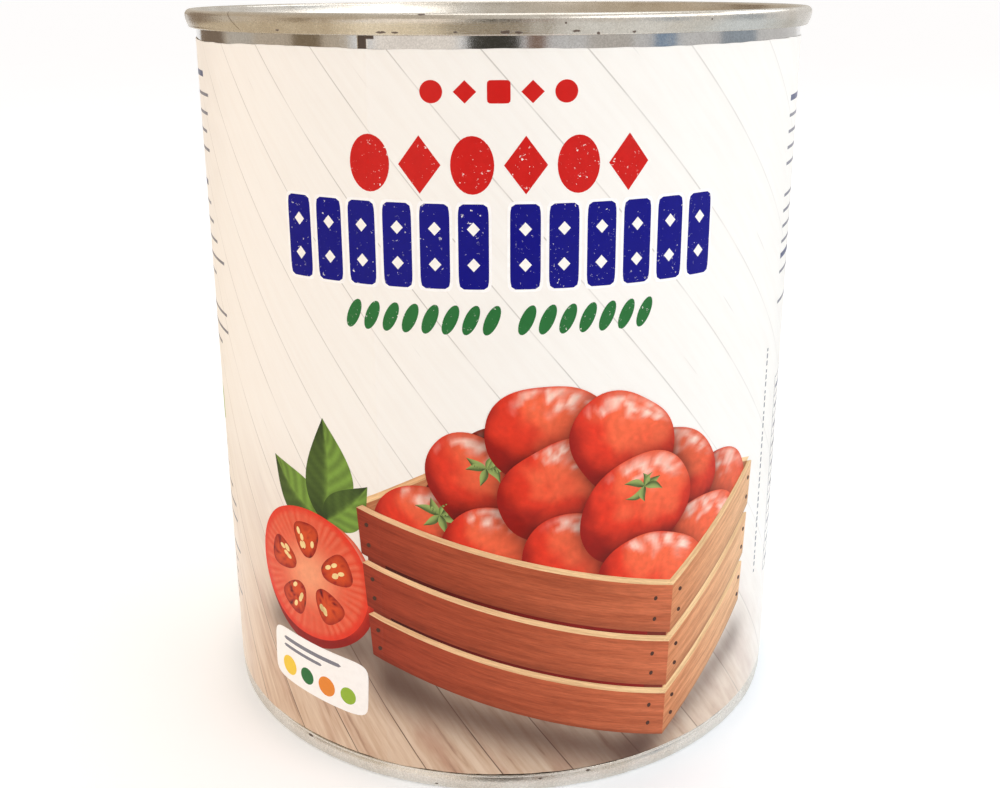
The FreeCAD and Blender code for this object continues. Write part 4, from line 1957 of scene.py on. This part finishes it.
@dataclass(frozen=True)
class Card:
    """A card that only shows in the tinplate: its azimuth in degrees, its glow and its form."""

    name: str
    azimuth: float
    half_width: float
    glow: Triple
    form: CardForm = CardForm.UPRIGHT
    columns: int = 9

    def build(self) -> Piece:
        """Makes the card as a curved strip about the can.

        Formula: the strip runs between its two long edges, each at its own distance from the can's axis.

        Returns:
            The finished card.
        """
        low, high = self.azimuth - self.half_width, self.azimuth + self.half_width
        azimuth = np.radians(np.linspace(low, high, self.columns))[None, :]
        distance, height = np.array(self.form.value).T[:, :, None]
        x, y = distance * np.sin(azimuth), -distance * np.cos(azimuth)
        points = np.stack([x, y, height + 0.0 * azimuth], axis=-1)
        card = build_object(self.name, Surface(points.reshape(-1, 3), grid_quads(2, self.columns, False)))
        material = bpy.data.materials.new(self.name)
        material.use_nodes = True
        shader = material.node_tree.nodes["Principled BSDF"]
        shader.inputs["Base Color"].default_value = (0.0, 0.0, 0.0, 1.0)
        shader.inputs["Specular IOR Level"].default_value = 0.0
        shader.inputs["Emission Color"].default_value = (*self.glow, 1.0)
        shader.inputs["Emission Strength"].default_value = 1.0
        dressed(card, material)
        for ray in ("camera", "diffuse", "transmission", "volume_scatter", "shadow"):
            setattr(card, f"visible_{ray}", False)
        return card


@dataclass(frozen=True)
class Lamp:
    """A square soft light that looks at the can's middle."""

    name: str
    place: Triple
    side: float
    power: float
    colour: Triple

    def build(self) -> Piece:
        """Makes the light.

        Returns:
            The lamp, linked to the scene.
        """
        data = bpy.data.lights.new(self.name, "AREA")
        data.shape = "SQUARE"
        data.size = self.side
        data.energy = self.power
        data.color = self.colour
        lamp = bpy.data.objects.new(self.name, data)
        lamp.location = self.place
        aim = Vector((0.0, 0.0, CAN_MIDDLE)) - Vector(self.place)
        lamp.rotation_euler = aim.to_track_quat("-Z", "Y").to_euler()
        bpy.context.scene.collection.objects.link(lamp)
        return lamp


@dataclass
class Studio:
    """The pale floor, the soft lights, the surroundings and the camera."""

    floor_half: float = 14.0
    soft_sky: tuple[Triple, ...] = ((1.46, 1.15, 0.88), (0.47, 0.47, 0.47), (0.99, 1.06, 1.16))
    mirrored_sky: tuple[Triple, ...] = ((0.58, 0.48, 0.36), (0.66, 0.62, 0.56), (0.76, 0.75, 0.73))
    seen_sky: tuple[Triple, ...] = ((1.0, 1.0, 1.0), (1.0, 1.0, 1.0))
    sky_span: tuple[float, float] = (-0.9, 0.8)
    lamps: tuple[Lamp, ...] = (
        Lamp("key", (0.60, -0.35, 0.55), 0.5, 1.2, (1.0, 0.99, 0.97)),
        Lamp("top", (0.10, 0.3, 0.8), 0.5, 1.0, (1.0, 1.0, 1.0)),
    )
    cards: tuple[Card, ...] = (
        Card("card_umber", -129.0, 14.0, (0.26, 0.19, 0.135)),
        Card("card_linen", -104.0, 9.0, (0.66, 0.59, 0.50)),
        Card("card_olive", -69.0, 6.4, (0.28, 0.205, 0.125)),
        Card("card_cream", -28.0, 14.5, (1.15, 1.05, 0.95)),
        Card("card_front", -1.4, 8.8, (0.065, 0.06, 0.048)),
        Card("card_clay", 12.6, 3.2, (0.32, 0.20, 0.145)),
        Card("card_oat", 38.0, 8.0, (0.66, 0.61, 0.55)),
        Card("card_blue", 58.5, 4.4, (0.30, 0.40, 0.53)),
        Card("card_slate", 93.0, 10.0, (0.40, 0.45, 0.50)),
        Card("back_left", -98.0, 46.0, (0.68, 0.57, 0.44), CardForm.BACKDROP),
        Card("back_right", 80.0, 64.0, (0.78, 0.76, 0.74), CardForm.BACKDROP),
        Card("mat_left", -98.0, 45.0, (0.67, 0.555, 0.40), CardForm.MAT),
        Card("mat_cream", -36.5, 16.5, (1.02, 0.90, 0.70), CardForm.MAT),
        Card("mat_front", -3.0, 17.0, (0.36, 0.30, 0.22), CardForm.MAT),
        Card("mat_right", 44.5, 30.5, (0.84, 0.84, 0.82), CardForm.MAT),
        Card("mat_slate", 92.0, 17.0, (0.74, 0.80, 0.84), CardForm.MAT),
        Card("mat_far", 133.0, 24.0, (0.66, 0.66, 0.64), CardForm.MAT),
        Card("card_over", 82.0, 56.0, (2.6, 2.6, 2.58), CardForm.OVERHEAD),
    )
    camera_place: Triple = (0.0, -0.2052, 0.1217)
    camera_pitch: float = 16.95
    camera_roll: float = 0.286
    sensor: float = 36.0
    lens: float = 42.20
    shift_y: float = -0.0541

    def build(self) -> None:
        """Sets up the whole studio."""
        self.build_floor()
        self.build_sky()
        for lamp in self.lamps:
            lamp.build()
        for card in self.cards:
            card.build()
        self.build_camera()
        bpy.context.scene.view_settings.view_transform = "Standard"

    def build_floor(self) -> None:
        """Makes the floor, a flat grid at the height that the can stands on."""
        span = np.linspace(-self.floor_half, self.floor_half, 9)
        x, y = np.meshgrid(span, span)
        points = np.stack([x, y, 0.0 * x], axis=-1).reshape(-1, 3)
        floor = build_object("floor", Surface(points, grid_quads(9, 9, False)))
        dressed(floor, PaleFloor().make())

    def build_sky(self) -> None:
        """Makes the surroundings: one gradient lights the can, another shows in its tinplate.

        Formula: each gradient's colours are spread evenly over the direction's share towards +X, and what the
        camera sees directly is plain white.
        """
        world = bpy.data.worlds.new("studio_sky")
        bpy.context.scene.world = world
        world.use_nodes = True
        tree = world.node_tree
        tree.nodes.clear()
        path = tree.nodes.new("ShaderNodeLightPath")
        direction = tree.nodes.new("ShaderNodeTexCoord")
        parts = tree.nodes.new("ShaderNodeSeparateXYZ")
        tree.links.new(direction.outputs["Generated"], parts.inputs[0])
        shown = None
        skies = {None: self.soft_sky, "Is Glossy Ray": self.mirrored_sky, "Is Camera Ray": self.seen_sky}
        for ray, tones in skies.items():
            share = tree.nodes.new("ShaderNodeMapRange")
            share.inputs["From Min"].default_value = self.sky_span[0]
            share.inputs["From Max"].default_value = self.sky_span[1]
            tree.links.new(parts.outputs[0], share.inputs["Value"])
            blend = tree.nodes.new("ShaderNodeValToRGB")
            stops = blend.color_ramp.elements
            for _ in tones[2:]:
                stops.new(0.5)
            for number, tone in enumerate(tones):
                stops[number].position = number / (len(tones) - 1)
                stops[number].color = (*tone, 1.0)
            tree.links.new(share.outputs["Result"], blend.inputs["Fac"])
            glow = tree.nodes.new("ShaderNodeBackground")
            tree.links.new(blend.outputs["Color"], glow.inputs["Color"])
            if shown is None:
                shown = glow.outputs[0]
                continue
            choose = tree.nodes.new("ShaderNodeMixShader")
            tree.links.new(path.outputs[ray], choose.inputs["Fac"])
            tree.links.new(shown, choose.inputs[1])
            tree.links.new(glow.outputs[0], choose.inputs[2])
            shown = choose.outputs[0]
        output = tree.nodes.new("ShaderNodeOutputWorld")
        tree.links.new(shown, output.inputs["Surface"])

    def build_camera(self) -> None:
        """Makes the camera, close in front of the can and looking down on it a little."""
        data = bpy.data.cameras.new("camera")
        data.lens = self.lens
        data.sensor_width = self.sensor
        data.sensor_fit = "HORIZONTAL"
        data.shift_y = self.shift_y
        data.clip_start = 0.01
        data.dof.use_dof = False
        camera = bpy.data.objects.new("camera", data)
        camera.matrix_world = (
            Matrix.Translation(self.camera_place)
            @ Matrix.Rotation(math.radians(90.0 - self.camera_pitch), 4, "X")
            @ Matrix.Rotation(math.radians(-self.camera_roll), 4, "Z")
        )
        bpy.context.scene.collection.objects.link(camera)
        bpy.context.scene.camera = camera


# --- the can ---


@dataclass
class TomatoTin:
    """The whole can: its tinplate pieces, its wrap, and everything printed on the wrap."""

    form: WrapForm

    def build_metal(self) -> None:
        """Makes the body and the two seamed ends."""
        blots = tuple(Blot(*sizes) for sizes in (
            (-17.4, 115.62, 0.013, 0.16), (-15.3, 115.6, 0.010, 0.14), (-6.2, 115.66, 0.006, 0.14),
            (1.1, 115.66, 0.014, 0.24), (2.9, 115.62, 0.010, 0.18), (9.7, 116.75, 0.003, 0.14),
            (11.4, 115.74, 0.010, 0.16), (14.7, 115.42, 0.005, 0.20), (20.3, 115.5, 0.005, 0.18),
            (-11.2, 117.85, 0.010, 0.14), (-36.0, 115.7, 0.008, 0.14), (34.0, 116.9, 0.003, 0.12),
            (96.0, 115.7, 0.012, 0.2), (150.0, 115.6, 0.016, 0.2), (-140.0, 115.7, 0.010, 0.2),
            (7.0, 2.1, 0.008, 0.16), (16.0, 2.3, 0.010, 0.2), (-12.0, 0.9, 0.006, 0.14),
            (-40.0, 2.2, 0.012, 0.18),
        ))
        end = Tinplate("end_tinplate", (0.75, 0.715, 0.66), (0.66, 0.61, 0.54), 0.25, 0.5, blots, True)
        wall = Tinplate("wall_tinplate", (0.64, 0.635, 0.625), (0.58, 0.57, 0.56), 0.12, 0.12,
                        weld_azimuth=TinBody.weld_azimuth)
        TinBody().build(wall.make())
        metal = end.make()
        SeamedEnd("foot_end", "bottom_end", "end_tinplate", False, 23).build(metal)
        SeamedEnd("seamed_lid", "top_end", "end_tinplate", True, 31).build(metal)

    def build_paper(self) -> None:
        """Makes the wrap with its planks and printed shadows."""
        shade = SoftShadows((
            ShadowBand(-17.0, 18.0, 22.0, 4.5, 4.6, 0.85),
            ShadowBand(22.0, 4.5, 44.0, 16.5, 3.8, 0.60),
            ShadowBand(-17.0, 27.0, -14.0, 18.0, 5.0, 0.50),
            ShadowBand(-40.0, 22.5, -24.0, 22.0, 4.0, 0.72),
            ShadowBand(-23.0, 26.0, -18.0, 22.0, 4.5, 0.55),
        ))
        PaperWrap(self.form).build(PlankPaper(self.form).make(), shade)

    def build_picture(self) -> None:
        """Makes the crate, its tomatoes, and the cut tomato and the sprig beside it."""
        crate = CratePicture(CrateView())
        first = 1.2
        heap = crate.heap(first)
        over = first + len(heap)
        wood = InkPiece("print_crate", PrintedWood().make(), self.form)
        wood.patches = crate.back_boards() + crate.front_boards(over)
        ink = PrintInk("picture_ink")
        fruit = InkPiece("print_fruit", ink.make(), self.form)
        for rank, tomato in enumerate(heap):
            fruit.patches.append(tomato.patch(heap[rank + 1:]))
            if tomato.seed % 4 == 0:
                fruit.patches += tomato.calyx(3.6, tomato.turn, tomato.seed)
        fruit.patches += crate.nails(over + 7.5)
        garnish = InkPiece("print_garnish", fruit.material, self.form)
        garnish.patches = LeafSprig().patches() + HalvedTomato().patches()
        for piece in (wood, fruit, garnish):
            piece.build()

    def build_bands(self) -> None:
        """Makes the printed bands, the small ornament over them, the tag and the small print."""
        block, oval, lozenge = FriezeUnit.BLOCK, FriezeUnit.OVAL, FriezeUnit.LOZENGE
        word_ink = PrintInk("band_ink", mottle=0.05, wear=0.04).make()
        plain_ink = PrintInk("tag_ink", mottle=0.03).make()
        bands = InkPiece("print_bands", word_ink, self.form)
        bands.patches = (
            Frieze(Tint.RED, -20.9, 20.9, 94.6, 102.4, (oval, lozenge) * 3, 1.3).patches()
            + Frieze(Tint.BLUE, -32.3, 32.3, 81.5, 93.3, (block,) * 12, 1.15, (6,), 1.7, pierced=True,
                     halo=0.38).patches()
            + Frieze(Tint.GREEN, -22.2, 22.0, 74.8, 79.4, (oval,) * 15, 1.0, (8,), 2.0, lean=-24.0).patches()
        )
        mark = InkPiece("print_mark", plain_ink, self.form)
        mark.patches = Frieze(Tint.RED, -10.5, 10.5, 106.6, 109.6,
                              (oval, lozenge, block, lozenge, oval), 1.4).patches()
        tag = InkPiece("print_tag", plain_ink, self.form, PlainTag().patches())
        small = InkPiece("print_small", plain_ink, self.form, SmallPrint().patches())
        for piece in (bands, mark, tag, small):
            piece.build()


def main() -> None:
    """Builds the can piece by piece, then the studio round it."""
    logging.basicConfig(level=logging.INFO, format="%(message)s")
    tin = TomatoTin(WrapForm.from_frame())
    tin.build_metal()
    tin.build_paper()
    tin.build_picture()
    tin.build_bands()
    Studio().build()


if __name__ == "__main__":
    main()
